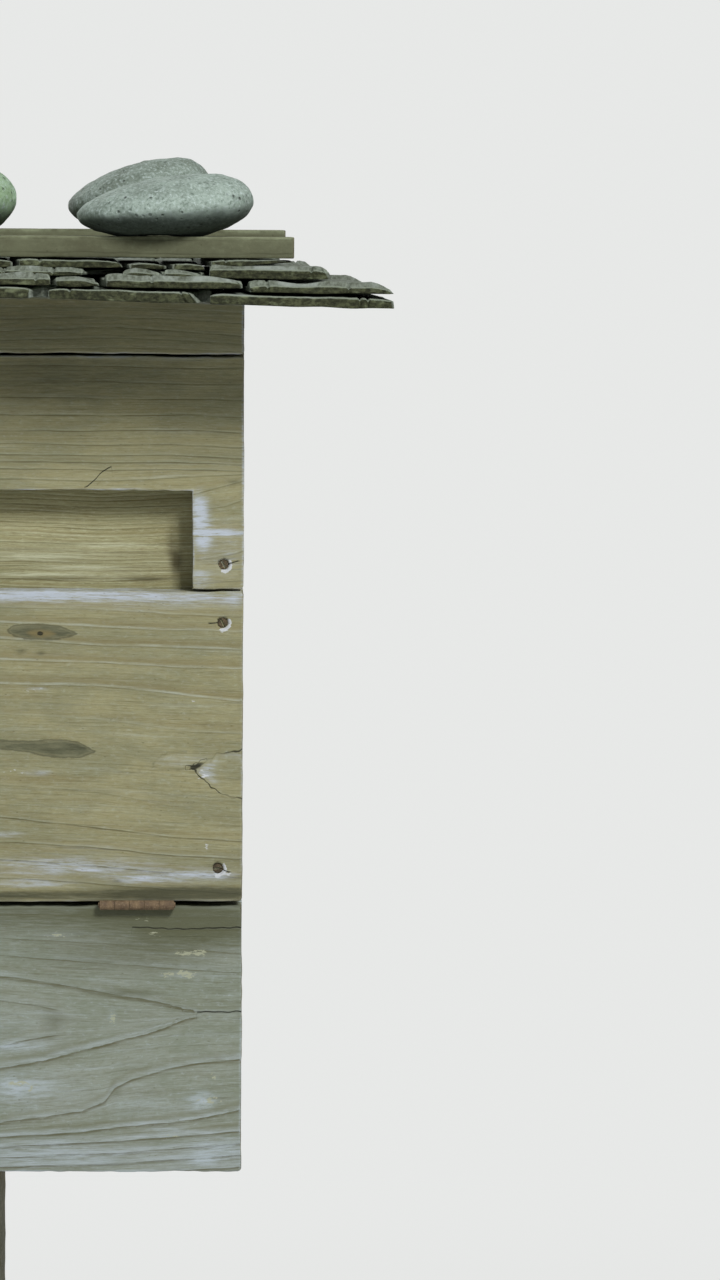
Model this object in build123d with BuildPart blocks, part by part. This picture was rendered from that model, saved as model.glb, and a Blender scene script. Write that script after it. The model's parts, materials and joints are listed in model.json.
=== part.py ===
from build123d import *
import math
import os

os.makedirs("parts", exist_ok=True)

# A wooden dovecote: a box of boards on a post, under a roof of split shakes that
# river stones hold down. X runs across the front, Y from the front to the back,
# Z up. The origin is the middle of the post's foot. Lengths are in millimetres.

# Box
box_width = 408
box_depth = 300
box_bottom = 900
board_thickness = 24
flap_height = 182
middle_height = 210
notched_height = 156
rail_height = 38
board_gap = 1
worn_corner = 3
worn_arris = 1.5
fit_gap = 0.5

# Wide low recess in the front, closed from behind by a board
recess_width = 338
recess_height = 67
recess_corner = 2
recess_board_thickness = 18
recess_board_lap = 30

# Floor, its two bearers and the post
floor_thickness = 20
bearer_width = 38
bearer_height = 45
post_size = 75
post_arris = 3

# Clean-out flap and its two butt hinges
flap_gap = 2.6
flap_seat_gap = 0.5
hinge_length = 50
hinge_inset = 71
hinge_standoff = 4.5
barrel_radius = 3.2
pin_radius = 1.2
pin_head_radius = 1.9
pin_head_height = 0.8
running_clearance = 0.05
leaf_thickness = 1.2
leaf_depth = 18
knuckle_count = 5
knuckle_gap = 0.3

# Roof: level from front to back, on a deck that is crowned from side to side
deck_thickness = 18
crown_angle = 1.4
crown_flat = 70
eave_overhang = 112
rear_overhang = 80
side_overhang = 95

# Boards across the shakes. The top course reaches a little past their ends.
press_end_inset = 63
press_width = 64
front_press_thickness = 14
back_press_thickness = 17.5
press_inset = 72
press_spacing = 252
top_course_reach = 2
top_course_inset = press_end_inset - top_course_reach

# Split shakes, laid front to back, listed from the deck up. A course has its step
# back from the eave, its middle shake as (gap beside it, thickness), and its other
# shakes from the side inwards as (gap outside it, width, thickness, tilt in degrees).
shake_wear = 1.6
seat_gap = 0.05
courses = (
    (0, (9, 8.4), ((0, 120, 7.6, crown_angle), (5, 99, 8.4, crown_angle))),
    (6, (2, 6.0), ((0, 94, 6.0, 0.4), (3, 89, 6.2, 0.4), (3, 29, 5.6, crown_angle))),
    (36, (25, 4.4), ((40, 81, 7.4, 0.4), (4, 24, 4.4, 0.6), (2, 25, 4.6, 0.6))),
    (
        56,
        (2, 6.6),
        ((top_course_inset, 58, 5.6, 0), (2, 23, 5.8, 0.6), (2, 26, 5.6, 0.6), (2, 70, 6.6, 0.6)),
    ),
)

# Stones: length, depth, height, place in from the end of the board, or from its
# middle for a middle stone, place behind the middle line of the board, lean to the
# right at the top, how much fuller the right end is, and turn in degrees
stone_sides = 24
stone_bands = 7
stone_low_angle = math.radians(-62)
stone_high_angle = math.radians(76)
stones = {
    "front_right_stone": (119, 96, 39.5, 88, -10, 6, 0.25, 4),
    "back_right_stone": (106, 92, 48, 104, 4, 0, 0.3, -12),
    "front_middle_stone": (102, 88, 52, 5, -6, -2, 0, 10),
    "back_middle_stone": (104, 90, 42, -10, 6, 6, 0.08, -6),
    "front_left_stone": (120, 90, 44, 90, -8, -8, -0.15, -9),
    "back_left_stone": (116, 94, 48, 86, 4, 7, 0.1, 14),
}

# Worked out from the sizes above
front_y = -box_depth / 2
back_y = box_depth / 2
inner_front_y = front_y + board_thickness
inner_back_y = back_y - board_thickness
outer_half = box_width / 2
inner_half = outer_half - board_thickness
roof_half = outer_half + side_overhang
flap_top = box_bottom + flap_height
middle_bottom = flap_top + flap_gap
middle_top = middle_bottom + middle_height
notched_bottom = middle_top + board_gap
notched_top = notched_bottom + notched_height
rail_bottom = notched_top + board_gap
rail_top = rail_bottom + rail_height
press_half = roof_half - press_end_inset
crown_slope = math.tan(math.radians(crown_angle))
floor_bottom = box_bottom + bearer_height
hinge_y = front_y - hinge_standoff
hinge_z = flap_top + flap_gap / 2

front_face = Plane.XZ.offset(-front_y)
back_face = Plane.XZ.offset(-back_y)
# In the front face, with its origin in the middle under the shakes
roof_front = Plane(origin=(0, front_y, rail_top), x_dir=(1, 0, 0), z_dir=(0, -1, 0))


def save(piece, label):
    """Name a piece and write it."""
    piece.part.label = label
    export_step(piece.part, f"parts/{label}.step")


def wear_front(piece):
    """Take off the arrises round the weathered front face of a board."""
    chamfer(piece.faces().sort_by(Axis.Y)[0].edges(), worn_arris)


def wear_back(piece):
    """Take off the arrises round the weathered back face of a board."""
    chamfer(piece.faces().sort_by(Axis.Y)[-1].edges(), worn_arris)


def space_above(depth):
    """Everything above the crowned surface this far under the shakes."""
    reach = box_width
    crown_drop = (reach - crown_flat) * crown_slope
    with BuildPart() as space:
        with BuildSketch(roof_front.offset(board_thickness)):
            with BuildLine():
                Polyline(
                    (-reach, -depth - crown_drop),
                    (-crown_flat, -depth),
                    (crown_flat, -depth),
                    (reach, -depth - crown_drop),
                    (reach, rail_height),
                    (-reach, rail_height),
                    close=True,
                )
            make_face()
        extrude(amount=-(box_depth + 2 * board_thickness))
    return space.part


above_deck = space_above(0)
above_walls = space_above(deck_thickness)


# Front boards
with BuildPart() as front_flap:
    with BuildSketch(front_face):
        with Locations((0, box_bottom + flap_height / 2)):
            RectangleRounded(box_width, flap_height, worn_corner)
    extrude(amount=-(board_thickness - flap_seat_gap))
    wear_front(front_flap)
save(front_flap, "front_flap")

with BuildPart() as front_middle_board:
    with BuildSketch(front_face):
        with Locations((0, middle_bottom + middle_height / 2)):
            RectangleRounded(box_width, middle_height, worn_corner)
    extrude(amount=-board_thickness)
    wear_front(front_middle_board)
save(front_middle_board, "front_middle_board")

with BuildPart() as front_notched_board:
    with BuildSketch(front_face) as notched_outline:
        with Locations((0, notched_bottom + notched_height / 2)):
            RectangleRounded(box_width, notched_height, worn_corner)
        with Locations((0, middle_top + recess_height / 2)):
            Rectangle(recess_width, recess_height, mode=Mode.SUBTRACT)
        recess_edge = notched_outline.edges().filter_by(Axis.X).sort_by(Axis.Y)[-2]
        fillet(recess_edge.vertices(), recess_corner)
    extrude(amount=-board_thickness)
    wear_front(front_notched_board)
save(front_notched_board, "front_notched_board")

with BuildPart() as front_top_rail:
    with BuildSketch(front_face):
        with Locations((0, rail_bottom + rail_height)):
            Rectangle(box_width, 2 * rail_height)
    extrude(amount=-board_thickness)
    wear_front(front_top_rail)
    add(above_deck, mode=Mode.SUBTRACT)
save(front_top_rail, "front_top_rail")

# Board that closes the recess from inside
with BuildPart() as recess_board:
    with BuildSketch(Plane.XZ.offset(-inner_front_y)):
        with Locations((0, middle_top + recess_height / 2)):
            Rectangle(2 * (inner_half - fit_gap), recess_height + 2 * recess_board_lap)
    extrude(amount=-recess_board_thickness)
save(recess_board, "recess_board")

# Side and back walls, each of three boards in line with those of the front
board_levels = {
    "lower": (box_bottom, flap_top),
    "middle": (flap_top + board_gap, middle_top),
    "upper": (notched_bottom, rail_top),
}
for side, low_x in (("left", -outer_half), ("right", inner_half)):
    for level, (low_z, high_z) in board_levels.items():
        with BuildPart() as side_board:
            with BuildSketch(Plane.YZ.offset(low_x)):
                with Locations((0, (low_z + high_z) / 2)):
                    Rectangle(inner_back_y - inner_front_y, high_z - low_z)
            extrude(amount=board_thickness)
            add(above_walls, mode=Mode.SUBTRACT)
        save(side_board, f"{side}_{level}_board")

for level, (low_z, high_z) in board_levels.items():
    with BuildPart() as back_board:
        with BuildSketch(back_face):
            with Locations((0, (low_z + high_z) / 2)):
                RectangleRounded(box_width, high_z - low_z, worn_corner)
        extrude(amount=board_thickness)
        wear_back(back_board)
        add(above_deck, mode=Mode.SUBTRACT)
    save(back_board, f"back_{level}_board")

# Crowned deck on the side walls, between the front and the back
with BuildPart() as roof_deck:
    with BuildSketch(Plane.XZ.offset(-inner_front_y)):
        with Locations((0, rail_top)):
            Rectangle(box_width, 2 * rail_height)
    extrude(amount=-(inner_back_y - inner_front_y))
    add(above_walls, mode=Mode.INTERSECT)
    add(above_deck, mode=Mode.SUBTRACT)
save(roof_deck, "roof_deck")

# Floor on two bearers, which clasp the head of the post
with BuildPart() as floor_board:
    with BuildSketch(Plane.XY.offset(floor_bottom)):
        Rectangle(2 * (inner_half - fit_gap), inner_back_y - inner_front_y - 2 * fit_gap)
    extrude(amount=floor_thickness)
save(floor_board, "floor_board")

bearer_y = (post_size + bearer_width) / 2
for label, middle_y in (("front_bearer", -bearer_y), ("back_bearer", bearer_y)):
    with BuildPart() as bearer:
        with BuildSketch(Plane.XY.offset(box_bottom)):
            with Locations((0, middle_y)):
                Rectangle(2 * inner_half, bearer_width)
        extrude(amount=bearer_height)
    save(bearer, label)

with BuildPart() as post:
    with BuildSketch(Plane.XY):
        Rectangle(post_size, post_size)
    extrude(amount=floor_bottom)
    chamfer(post.edges().filter_by(Axis.Z), post_arris)
save(post, "post")


# Hinges: two leaves in the gap over the flap, with interleaved knuckles on one pin
knuckle_pitch = hinge_length / knuckle_count
knuckle_length = knuckle_pitch - knuckle_gap
leaf_back_y = front_y + leaf_depth
leaf_front_y = hinge_y + barrel_radius + knuckle_gap


def knuckle_starts(start_x, first_knuckle):
    """Where every second knuckle of a hinge starts, from its left end at start_x."""
    places = range(first_knuckle, knuckle_count, 2)
    return [start_x + place * knuckle_pitch + knuckle_gap / 2 for place in places]


def rod(start_x, length, radius, mode=Mode.ADD):
    """A round rod on the hinge axis, in the part being built."""
    with BuildSketch(Plane.YZ.offset(start_x)) as section:
        with Locations((hinge_y, hinge_z)):
            Circle(radius)
    extrude(section.sketch, amount=length, mode=mode)


def hinge_leaf(label, start_x, low_z, first_knuckle):
    """A leaf with every second knuckle, wrapped round the bore for the pin."""
    with BuildPart() as piece:
        with BuildSketch(Plane.XY.offset(low_z)):
            with Locations((start_x + hinge_length / 2, (leaf_front_y + leaf_back_y) / 2)):
                Rectangle(hinge_length, leaf_back_y - leaf_front_y)
            for knuckle_x in knuckle_starts(start_x, first_knuckle):
                with Locations((knuckle_x + knuckle_length / 2, (hinge_y + leaf_front_y) / 2)):
                    Rectangle(knuckle_length, leaf_front_y - hinge_y)
        extrude(amount=leaf_thickness)
        for knuckle_x in knuckle_starts(start_x, first_knuckle):
            rod(knuckle_x, knuckle_length, barrel_radius)
        rod(start_x, hinge_length, pin_radius + running_clearance, Mode.SUBTRACT)
    save(piece, label)


def hinge_pin(label, start_x):
    """A pin with a flat head at each end of the barrel."""
    with BuildPart() as piece:
        rod(start_x, hinge_length, pin_radius)
        rod(start_x - pin_head_height, pin_head_height, pin_head_radius)
        rod(start_x + hinge_length, pin_head_height, pin_head_radius)
    save(piece, label)


hinge_x = outer_half - hinge_inset
for side, middle_x in (("left", -hinge_x), ("right", hinge_x)):
    start_x = middle_x - hinge_length / 2
    hinge_leaf(f"{side}_hinge_fixed_leaf", start_x, middle_bottom - leaf_thickness, 0)
    hinge_leaf(f"{side}_hinge_flap_leaf", start_x, flap_top, 1)
    hinge_pin(f"{side}_hinge_pin", start_x)


# Roof shakes. Each one is laid on the highest point under it, and its tilt lets it
# droop outwards. What is laid right of the middle is a list of (left, right, height
# of its top at the left, height of its top at the right), mirrored to the left.
laid = [
    (0, crown_flat, 0, 0),
    (crown_flat, roof_half, 0, (crown_flat - roof_half) * crown_slope),
]


def seat_height(left, right, slope):
    """Height of the underside, at its left end, of a shake laid on what is there."""
    heights = []
    for under_left, under_right, top_left, top_right in laid:
        low_x, high_x = max(left, under_left), min(right, under_right)
        if low_x < high_x:
            for x in (low_x, high_x):
                share = (x - under_left) / (under_right - under_left)
                top = top_left + (top_right - top_left) * share
                heights.append(top + slope * (x - left))
    return max(heights) + seat_gap


def lay_shake(left, right, thickness, tilt):
    """Lay a shake and draw its worn end, and its mirror image, in the sketch."""
    slope = math.tan(math.radians(tilt))
    low_left = seat_height(left, right, slope)
    low_right = low_left - slope * (right - left)
    laid.append((left, right, low_left + thickness, low_right + thickness))
    for mirrored in (1, -1) if left > 0 else (1,):
        outer = mirrored * right
        inner = mirrored * left if left > 0 else -right
        with BuildLine() as outline:
            Polyline(
                (inner, low_left),
                (outer, low_right),
                (outer, low_right + thickness),
                (inner, low_left + thickness),
                close=True,
            )
        make_face(outline.edges())


for number, (step_back, (middle_gap, middle_thickness), side_shakes) in enumerate(courses, start=1):
    course_length = box_depth + eave_overhang + rear_overhang - 2 * step_back
    with BuildPart() as course:
        with BuildSketch(roof_front.offset(eave_overhang - step_back)) as course_ends:
            left = roof_half
            for gap, width, thickness, tilt in side_shakes:
                right = left - gap
                left = right - width
                lay_shake(left, right, thickness, tilt)
            lay_shake(0, left - middle_gap, middle_thickness, 0)
            fillet(course_ends.vertices(), shake_wear)
        extrude(amount=-course_length)
    save(course, f"shake_course_{number}")

# Boards across the shakes, level from side to side. Each is named with the middle
# line of its top, where its stones lie.
press_bed = rail_top + seat_gap + max(max(tops) for left, right, *tops in laid if left < press_half)
front_press_y = front_y - eave_overhang + press_inset + press_width / 2
press_tops = {
    "front": Vector(0, front_press_y, press_bed + front_press_thickness),
    "back": Vector(0, front_press_y + press_spacing, press_bed + back_press_thickness),
}
for row, top in press_tops.items():
    with BuildPart() as press_board:
        with BuildSketch(Plane.XY.offset(press_bed)):
            with Locations((0, top.Y)):
                Rectangle(2 * press_half, press_width)
        extrude(amount=top.Z - press_bed)
    save(press_board, f"{row}_press_board")


# Cobbles with a flat seat, in flat facets between oval rings
def stone_ring(angle, size, seat, lean, fuller, turn):
    """Corners of the ring of a cobble at a latitude. Its right end is the fuller one."""
    length, depth, height = size
    full_rise = math.sin(stone_high_angle) - math.sin(stone_low_angle)
    rise = (math.sin(angle) - math.sin(stone_low_angle)) / full_rise
    corners = []
    for corner in range(stone_sides):
        around = 2 * math.pi * corner / stone_sides
        along = math.cos(angle) * math.cos(around)
        across = math.cos(angle) * math.sin(around)
        level = height * rise * (1 + fuller * along)
        spot = Vector(length / 2 * along, depth / 2 * across).rotate(Axis.Z, turn)
        corners.append(seat + spot + Vector(lean * rise, 0, level))
    return corners


stone_sides_x = {"right": 1, "middle": 0, "left": -1}
for label, (length, depth, height, inset, behind, lean, fuller, turn) in stones.items():
    row, side = label.split("_")[:2]
    side_sign = stone_sides_x[side]
    seat_x = side_sign * (press_half - inset) if side_sign else inset
    seat = press_tops[row] + Vector(seat_x, behind)
    rings = []
    for band in range(stone_bands + 1):
        angle = stone_low_angle + (stone_high_angle - stone_low_angle) * band / stone_bands
        rings.append(stone_ring(angle, (length, depth, height), seat, lean, fuller, turn))
    facets = [Face(Wire.make_polygon(rings[0]))]
    top_corner, *top_others = rings[-1]
    for start, end in zip(top_others, top_others[1:]):
        facets.append(Face(Wire.make_polygon((top_corner, start, end))))
    for lower, upper in zip(rings, rings[1:]):
        sides = zip(lower, lower[1:] + lower[:1], upper, upper[1:] + upper[:1])
        for low_start, low_end, high_start, high_end in sides:
            facets.append(Face(Wire.make_polygon((low_start, low_end, high_end))))
            facets.append(Face(Wire.make_polygon((low_start, high_end, high_start))))
    with BuildPart() as stone:
        add(Solid(Shell(facets)))
    save(stone, label)
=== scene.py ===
import itertools
import json
import math

import bmesh
import bpy
import numpy as np
from mathutils import Matrix, Vector


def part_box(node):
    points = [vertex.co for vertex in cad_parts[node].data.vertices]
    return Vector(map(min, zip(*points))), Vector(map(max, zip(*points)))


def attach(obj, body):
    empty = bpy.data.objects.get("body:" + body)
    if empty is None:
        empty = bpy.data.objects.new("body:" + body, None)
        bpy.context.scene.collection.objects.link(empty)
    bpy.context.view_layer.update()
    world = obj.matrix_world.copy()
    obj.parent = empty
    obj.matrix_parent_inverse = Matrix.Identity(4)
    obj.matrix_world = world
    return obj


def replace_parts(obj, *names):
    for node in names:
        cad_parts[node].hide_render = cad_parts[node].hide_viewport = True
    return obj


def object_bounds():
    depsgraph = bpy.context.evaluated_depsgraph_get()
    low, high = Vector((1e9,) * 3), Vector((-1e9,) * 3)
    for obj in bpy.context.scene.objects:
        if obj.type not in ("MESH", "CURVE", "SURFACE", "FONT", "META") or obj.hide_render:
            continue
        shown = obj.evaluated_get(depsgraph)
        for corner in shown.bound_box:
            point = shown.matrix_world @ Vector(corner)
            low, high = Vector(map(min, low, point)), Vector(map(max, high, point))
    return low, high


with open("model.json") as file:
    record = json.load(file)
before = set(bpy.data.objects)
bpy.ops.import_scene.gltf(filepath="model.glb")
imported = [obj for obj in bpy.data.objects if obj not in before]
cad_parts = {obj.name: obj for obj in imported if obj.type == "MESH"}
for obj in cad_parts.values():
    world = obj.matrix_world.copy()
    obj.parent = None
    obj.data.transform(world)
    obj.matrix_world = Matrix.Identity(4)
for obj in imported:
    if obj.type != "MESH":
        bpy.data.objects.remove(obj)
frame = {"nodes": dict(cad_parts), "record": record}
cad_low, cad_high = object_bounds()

# A weathered wooden dovecote. The frame gives the place and size of every board,
# shake and stone, and this script makes their worn shapes and their finishes.
# Lengths are in millimetres up to the last step of each mesh, which makes metres.
MM = 0.001

# Camera: the photograph is 720 by 1280 pixels, and its focal length is in pixels
IMAGE_HEIGHT = 1280
SENSOR = 36
FOCAL_PIXELS = 4500
CAMERA_PLACE = (161.5, -3150, 1547)
CAMERA_YAW = math.radians(2.3)
CAMERA_PITCH = math.radians(-5.42)
CAMERA_ROLL = math.radians(0.37)

# Light: the key light stands at the front right, like the sun in the photograph
KEY_DIRECTION = Vector((0.52, -1.0, 0.84)).normalized()
KEY_DISTANCE = 4.0
KEY_SIZE = 0.9
KEY_POWER = 121
FILL_PLACE = Vector((-3.0, -4.0, 1.4))
FILL_SIZE = 3.0
FILL_POWER = 18
BACK_PLACE = Vector((-2.2, 3.6, 2.6))
BACK_POWER = 105
WORLD_LIGHT = 0.20
BACKDROP = (0.80, 0.81, 0.80, 1)

# Photograph scale at the front boards: this pixel is the middle of the box and the
# foot of the flap, and a pixel is this many millimetres
MIDDLE_PIXEL = -56
FOOT_PIXEL = 1172
PIXEL = 0.68

body_of_node = {
    node: body
    for body, nodes in frame["record"]["behaviour"]["bodies"].items()
    for node in nodes
}


def photo_x(pixel):
    """Distance from the middle of the box of a pixel column on the front boards."""
    return (pixel - MIDDLE_PIXEL) * PIXEL


def photo_z(pixel):
    """Height of a pixel row on the front boards."""
    return box_foot + (FOOT_PIXEL - pixel) * PIXEL


def pixel_line(*points):
    """Points of a line from photograph pixels."""
    return [(photo_x(x), photo_z(y)) for x, y in points]


def pixel_stations(*stations):
    """Stations of a knot from photograph pixels."""
    return [(photo_x(x), photo_z(y), half * PIXEL) for x, y, half in stations]


def node_box(node):
    """Lowest and highest corner of a node in millimetres."""
    low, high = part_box(node)
    return np.array(low) / MM, np.array(high) / MM


box_foot = node_box("front_flap")[0][2]


# Noise and smooth steps on arrays

NOISE_PRIMES = (374761393, 668265263, 2147483647)


def noise(seed, *coordinates):
    """Smooth noise from -1 to 1, with one unit between its knots."""
    cells = [np.floor(c).astype(np.int64) for c in coordinates]
    parts = [c - cell for c, cell in zip(coordinates, cells)]
    parts = [p * p * (3 - 2 * p) for p in parts]
    total = 0
    for corner in itertools.product((0, 1), repeat=len(cells)):
        weight = 1
        key = np.int64(seed * 15731 + 1376312589)
        for cell, part, step, prime in zip(cells, parts, corner, NOISE_PRIMES):
            weight = weight * (part if step else 1 - part)
            key = key + (cell + step) * prime
        key = (key ^ (key >> 13)) & 0x7FFFFFFF
        key = (key * 1274126177 + 12345) & 0x7FFFFFFF
        key = ((key ^ (key >> 15)) * 2246822519) & 0x7FFFFFFF
        total = total + weight * (key / 0x40000000 - 1)
    return total


def smooth_step(low, high, value):
    """0 below low and 1 above high, with a smooth rise between them."""
    share = np.clip((value - low) / (high - low), 0, 1)
    return share * share * (3 - 2 * share)


def smooth_fall(low, high, value):
    """1 below low and 0 above high, with a smooth fall between them."""
    return 1 - smooth_step(low, high, value)


def bell(distance, width):
    """1 at no distance, falling smoothly to nothing past the width."""
    return np.exp(-((distance / width) ** 2))


# Lattices: a plate is a lattice of cells, some of them left out, whose surface is
# shaped afterwards. U and V lie in its outer face and W is the depth under it.

EDGE_STEPS = (0, 0.4, 0.9, 1.6, 2.6, 4.2)


def spread(breaks, step, fine_places=(), fine_reach=6.4, fine_step=0.8):
    """Places along a length, close together beside its breaks and fine places."""
    places = set()
    for low, high in zip(breaks, breaks[1:]):
        room = high - low
        steps = [s for s in EDGE_STEPS if s < room / 2]
        places.update(round(low + s, 4) for s in steps)
        places.update(round(high - s, 4) for s in steps)
        start, end = low + steps[-1], high - steps[-1]
        count = max(1, math.ceil((end - start) / step))
        places.update(round(start + (end - start) * k / count, 4) for k in range(count + 1))
    for middle in fine_places:
        places = {p for p in places if abs(p - middle) > fine_reach or p in breaks}
        count = round(2 * fine_reach / fine_step)
        extra = [middle - fine_reach + fine_step * k for k in range(count + 1)]
        places.update(round(p, 4) for p in extra if breaks[0] < p < breaks[-1])
    return np.array(sorted(places))


def lattice_quads(filled, layers, closed):
    """Quads of the surface of the filled cells, as indices of a full lattice."""
    count_v = filled.shape[1] + 1
    quads = []

    def add(cells, *corners):
        """A quad for each cell, with its corners as steps from the cell's first one."""
        i, j = np.nonzero(cells)
        quads.append(np.stack([((i + a) * count_v + j + b) * layers + k for a, b, k in corners], 1))

    add(filled, (0, 0, 0), (1, 0, 0), (1, 1, 0), (0, 1, 0))
    if closed:
        back = layers - 1
        add(filled, (0, 0, back), (0, 1, back), (1, 1, back), (1, 0, back))
    padded = np.pad(filled, 1)
    for beyond, (a, b), (c, d) in (
        (padded[1:-1, :-2], (0, 0), (1, 0)),
        (padded[2:, 1:-1], (1, 0), (1, 1)),
        (padded[1:-1, 2:], (1, 1), (0, 1)),
        (padded[:-2, 1:-1], (0, 1), (0, 0)),
    ):
        for k in range(layers - 1):
            add(filled & ~beyond, (a, b, k + 1), (c, d, k + 1), (c, d, k), (a, b, k))
    return np.concatenate(quads)


# Radius of a plate's corners, and a length that stands for nothing
CORNER = 3.0
TINY = 1e-6


class Plate:
    """The surface of a lattice, with U, V, W of each vertex and its distance from the outline."""

    def __init__(self, us, vs, ws, notch=None, closed=True):
        self.size = (us[0], us[-1], vs[0], vs[-1], ws[-1])
        self.notch, self.closed = notch, closed
        filled = np.ones((len(us) - 1, len(vs) - 1), bool)
        if notch:
            low_u, high_u, top = notch
            middle_u, middle_v = (us[1:] + us[:-1]) / 2, (vs[1:] + vs[:-1]) / 2
            cut_u = (middle_u > low_u) & (middle_u < high_u)
            filled &= ~(cut_u[:, None] & (middle_v < top)[None, :])
        quads = lattice_quads(filled, len(ws), closed)
        used, self.quads = np.unique(quads, return_inverse=True)
        self.quads = self.quads.reshape(quads.shape)
        column, self.layer = np.divmod(used, len(ws))
        i, j = np.divmod(column, len(vs))
        self.u, self.v, self.w = us[i], vs[j], ws[self.layer]
        self.last_layer = len(ws) - 1
        self.find_edges()

    def find_edges(self):
        """Distance in from the outline, and the direction straight in, at each vertex."""
        low_u, high_u, low_v, high_v, _ = self.size
        from_u, from_v = self.u - (low_u + high_u) / 2, self.v - (low_v + high_v) / 2
        over_u = np.abs(from_u) - ((high_u - low_u) / 2 - CORNER)
        over_v = np.abs(from_v) - ((high_v - low_v) / 2 - CORNER)
        in_corner = (over_u > 0) & (over_v > 0)
        reach = np.where(in_corner, np.hypot(over_u, over_v), np.maximum(over_u, over_v))
        scale = np.maximum(reach, TINY)
        self.edge = CORNER - reach
        self.in_u = -np.sign(from_u) * np.where(in_corner, over_u / scale, over_u > over_v)
        self.in_v = -np.sign(from_v) * np.where(in_corner, over_v / scale, over_u <= over_v)
        if self.notch:
            left, right, top = self.notch
            side = np.where(self.u < (left + right) / 2, -1.0, 1.0)
            beside, above = np.maximum(left - self.u, self.u - right), self.v - top
            out_u, out_v = np.maximum(beside, 0), np.maximum(above, 0)
            away = np.hypot(out_u, out_v)
            scale = np.maximum(away, TINY)
            rim_side = np.abs(beside) < np.abs(above)
            in_u = side * np.where(away < TINY, rim_side, out_u / scale)
            in_v = np.where(away < TINY, ~rim_side, out_v / scale)
            nearer = away < self.edge - TINY
            self.edge = np.where(nearer, away, self.edge)
            self.in_u = np.where(nearer, in_u, self.in_u)
            self.in_v = np.where(nearer, in_v, self.in_v)

    def shift_in(self, distance):
        """Move vertices straight in from the outline."""
        self.u = self.u + self.in_u * distance
        self.v = self.v + self.in_v * distance

    def trim(self, inset, reach=6.0):
        """Cut the sharp corners to the outline, and move the outline in by the inset."""
        outside = np.minimum(self.edge, 0)
        self.shift_in(-outside)
        self.edge = self.edge - outside
        self.shift_in(inset * smooth_fall(0, reach, self.edge))

    def wear_arris(self, radius, from_back=False):
        """Round the arris of the outer face, or of the back, to the radius."""
        thickness = self.size[4]
        depth = thickness - self.w if from_back else self.w
        across, down = radius - self.edge, radius - depth
        far = np.hypot(across, down)
        worn = (across > 0) & (down > 0) & (far > radius)
        share = np.where(worn, radius / np.maximum(far, TINY), 1)
        new_edge = np.where(worn, radius - across * share, self.edge)
        new_depth = np.where(worn, radius - down * share, depth)
        self.shift_in(new_edge - self.edge)
        self.edge = new_edge
        self.w = thickness - new_depth if from_back else new_depth

    def mesh(self, name, place, fields):
        """A mesh of the plate, whose open back, if it has one, is closed by one face of the second material.
        """
        faces = self.quads.tolist()
        if self.closed:
            return build_mesh(name, [(place(self.u, self.v, self.w), faces, fields)])
        faces.append(self.back_outline())
        mesh = build_mesh(name, [(place(self.u, self.v, self.w), faces, fields)])
        mesh.polygons[-1].material_index = 1
        mesh.polygons[-1].use_smooth = False
        return mesh

    def back_outline(self):
        """The closed loop of vertices round the open back, facing away from the outer face."""
        on_back = self.layer == self.last_layer
        follows = {}
        for quad in self.quads.tolist():
            for start, end in zip(quad, quad[1:] + quad[:1]):
                if on_back[start] and on_back[end]:
                    follows[end] = start
        loop = [next(iter(follows))]
        while follows[loop[-1]] != loop[0]:
            loop.append(follows[loop[-1]])
        return loop


def build_mesh(name, parts):
    """One smooth mesh of parts, each given as its points, its faces and its fields."""
    points, faces = [], []
    for part_points, part_faces, _ in parts:
        faces += [[corner + len(points) for corner in face] for face in part_faces]
        points += (part_points * MM).tolist()
    mesh = bpy.data.meshes.new(name)
    mesh.from_pydata(points, [], faces)
    mesh.polygons.foreach_set("use_smooth", np.ones(len(faces), bool))
    for field in parts[0][2]:
        values = np.concatenate([part[2][field] for part in parts]).astype(np.float32)
        kind, channel = ("FLOAT_VECTOR", "vector") if values.ndim == 2 else ("FLOAT", "value")
        mesh.attributes.new(field, kind, "POINT").data.foreach_set(channel, values.ravel())
    mesh.validate()
    mesh.update()
    return mesh


# Placing: for each way that a board faces, the axis and sense of its U, of its V and of
# its depth W. Senses of -1 run backwards along the axis.
FACINGS = {
    "front": ((0, 1), (2, 1), (1, 1)),
    "back": ((0, -1), (2, 1), (1, -1)),
    "left": ((1, -1), (2, 1), (0, 1)),
    "right": ((1, 1), (2, 1), (0, -1)),
    "top": ((0, 1), (1, 1), (2, -1)),
    "upright": ((2, 1), (0, -1), (1, 1)),
}


def facing(side, node):
    """A function that places a board, its ranges of U and V, and its thickness."""
    low, high = node_box(node)
    (along, along_sense), (across, across_sense), (deep, deep_sense) = FACINGS[side]

    def place(u, v, w):
        points = np.empty((len(u), 3))
        points[:, along] = u if along_sense > 0 else low[along] + high[along] - u
        points[:, across] = v if across_sense > 0 else low[across] + high[across] - v
        points[:, deep] = low[deep] + w if deep_sense > 0 else high[deep] - w
        return points

    return place, (low[along], high[along]), (low[across], high[across]), high[deep] - low[deep]


def link(mesh, materials, node, slot):
    """Make a piece of a mesh, with its name, that stands for a node and rides on its body."""
    piece = bpy.data.objects.new(mesh.name, mesh)
    bpy.context.scene.collection.objects.link(piece)
    for material in materials:
        mesh.materials.append(material)
    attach(piece, body_of_node[node])
    return piece


# Materials: a small writer of shader nodes

def linear(red, green, blue):
    """A colour given as the photograph's 0 to 255 values, in linear light."""
    levels = [c / 255 for c in (red, green, blue)]
    return tuple(c / 12.92 if c <= 0.04045 else ((c + 0.055) / 1.055) ** 2.4 for c in levels) + (1.0,)


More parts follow.
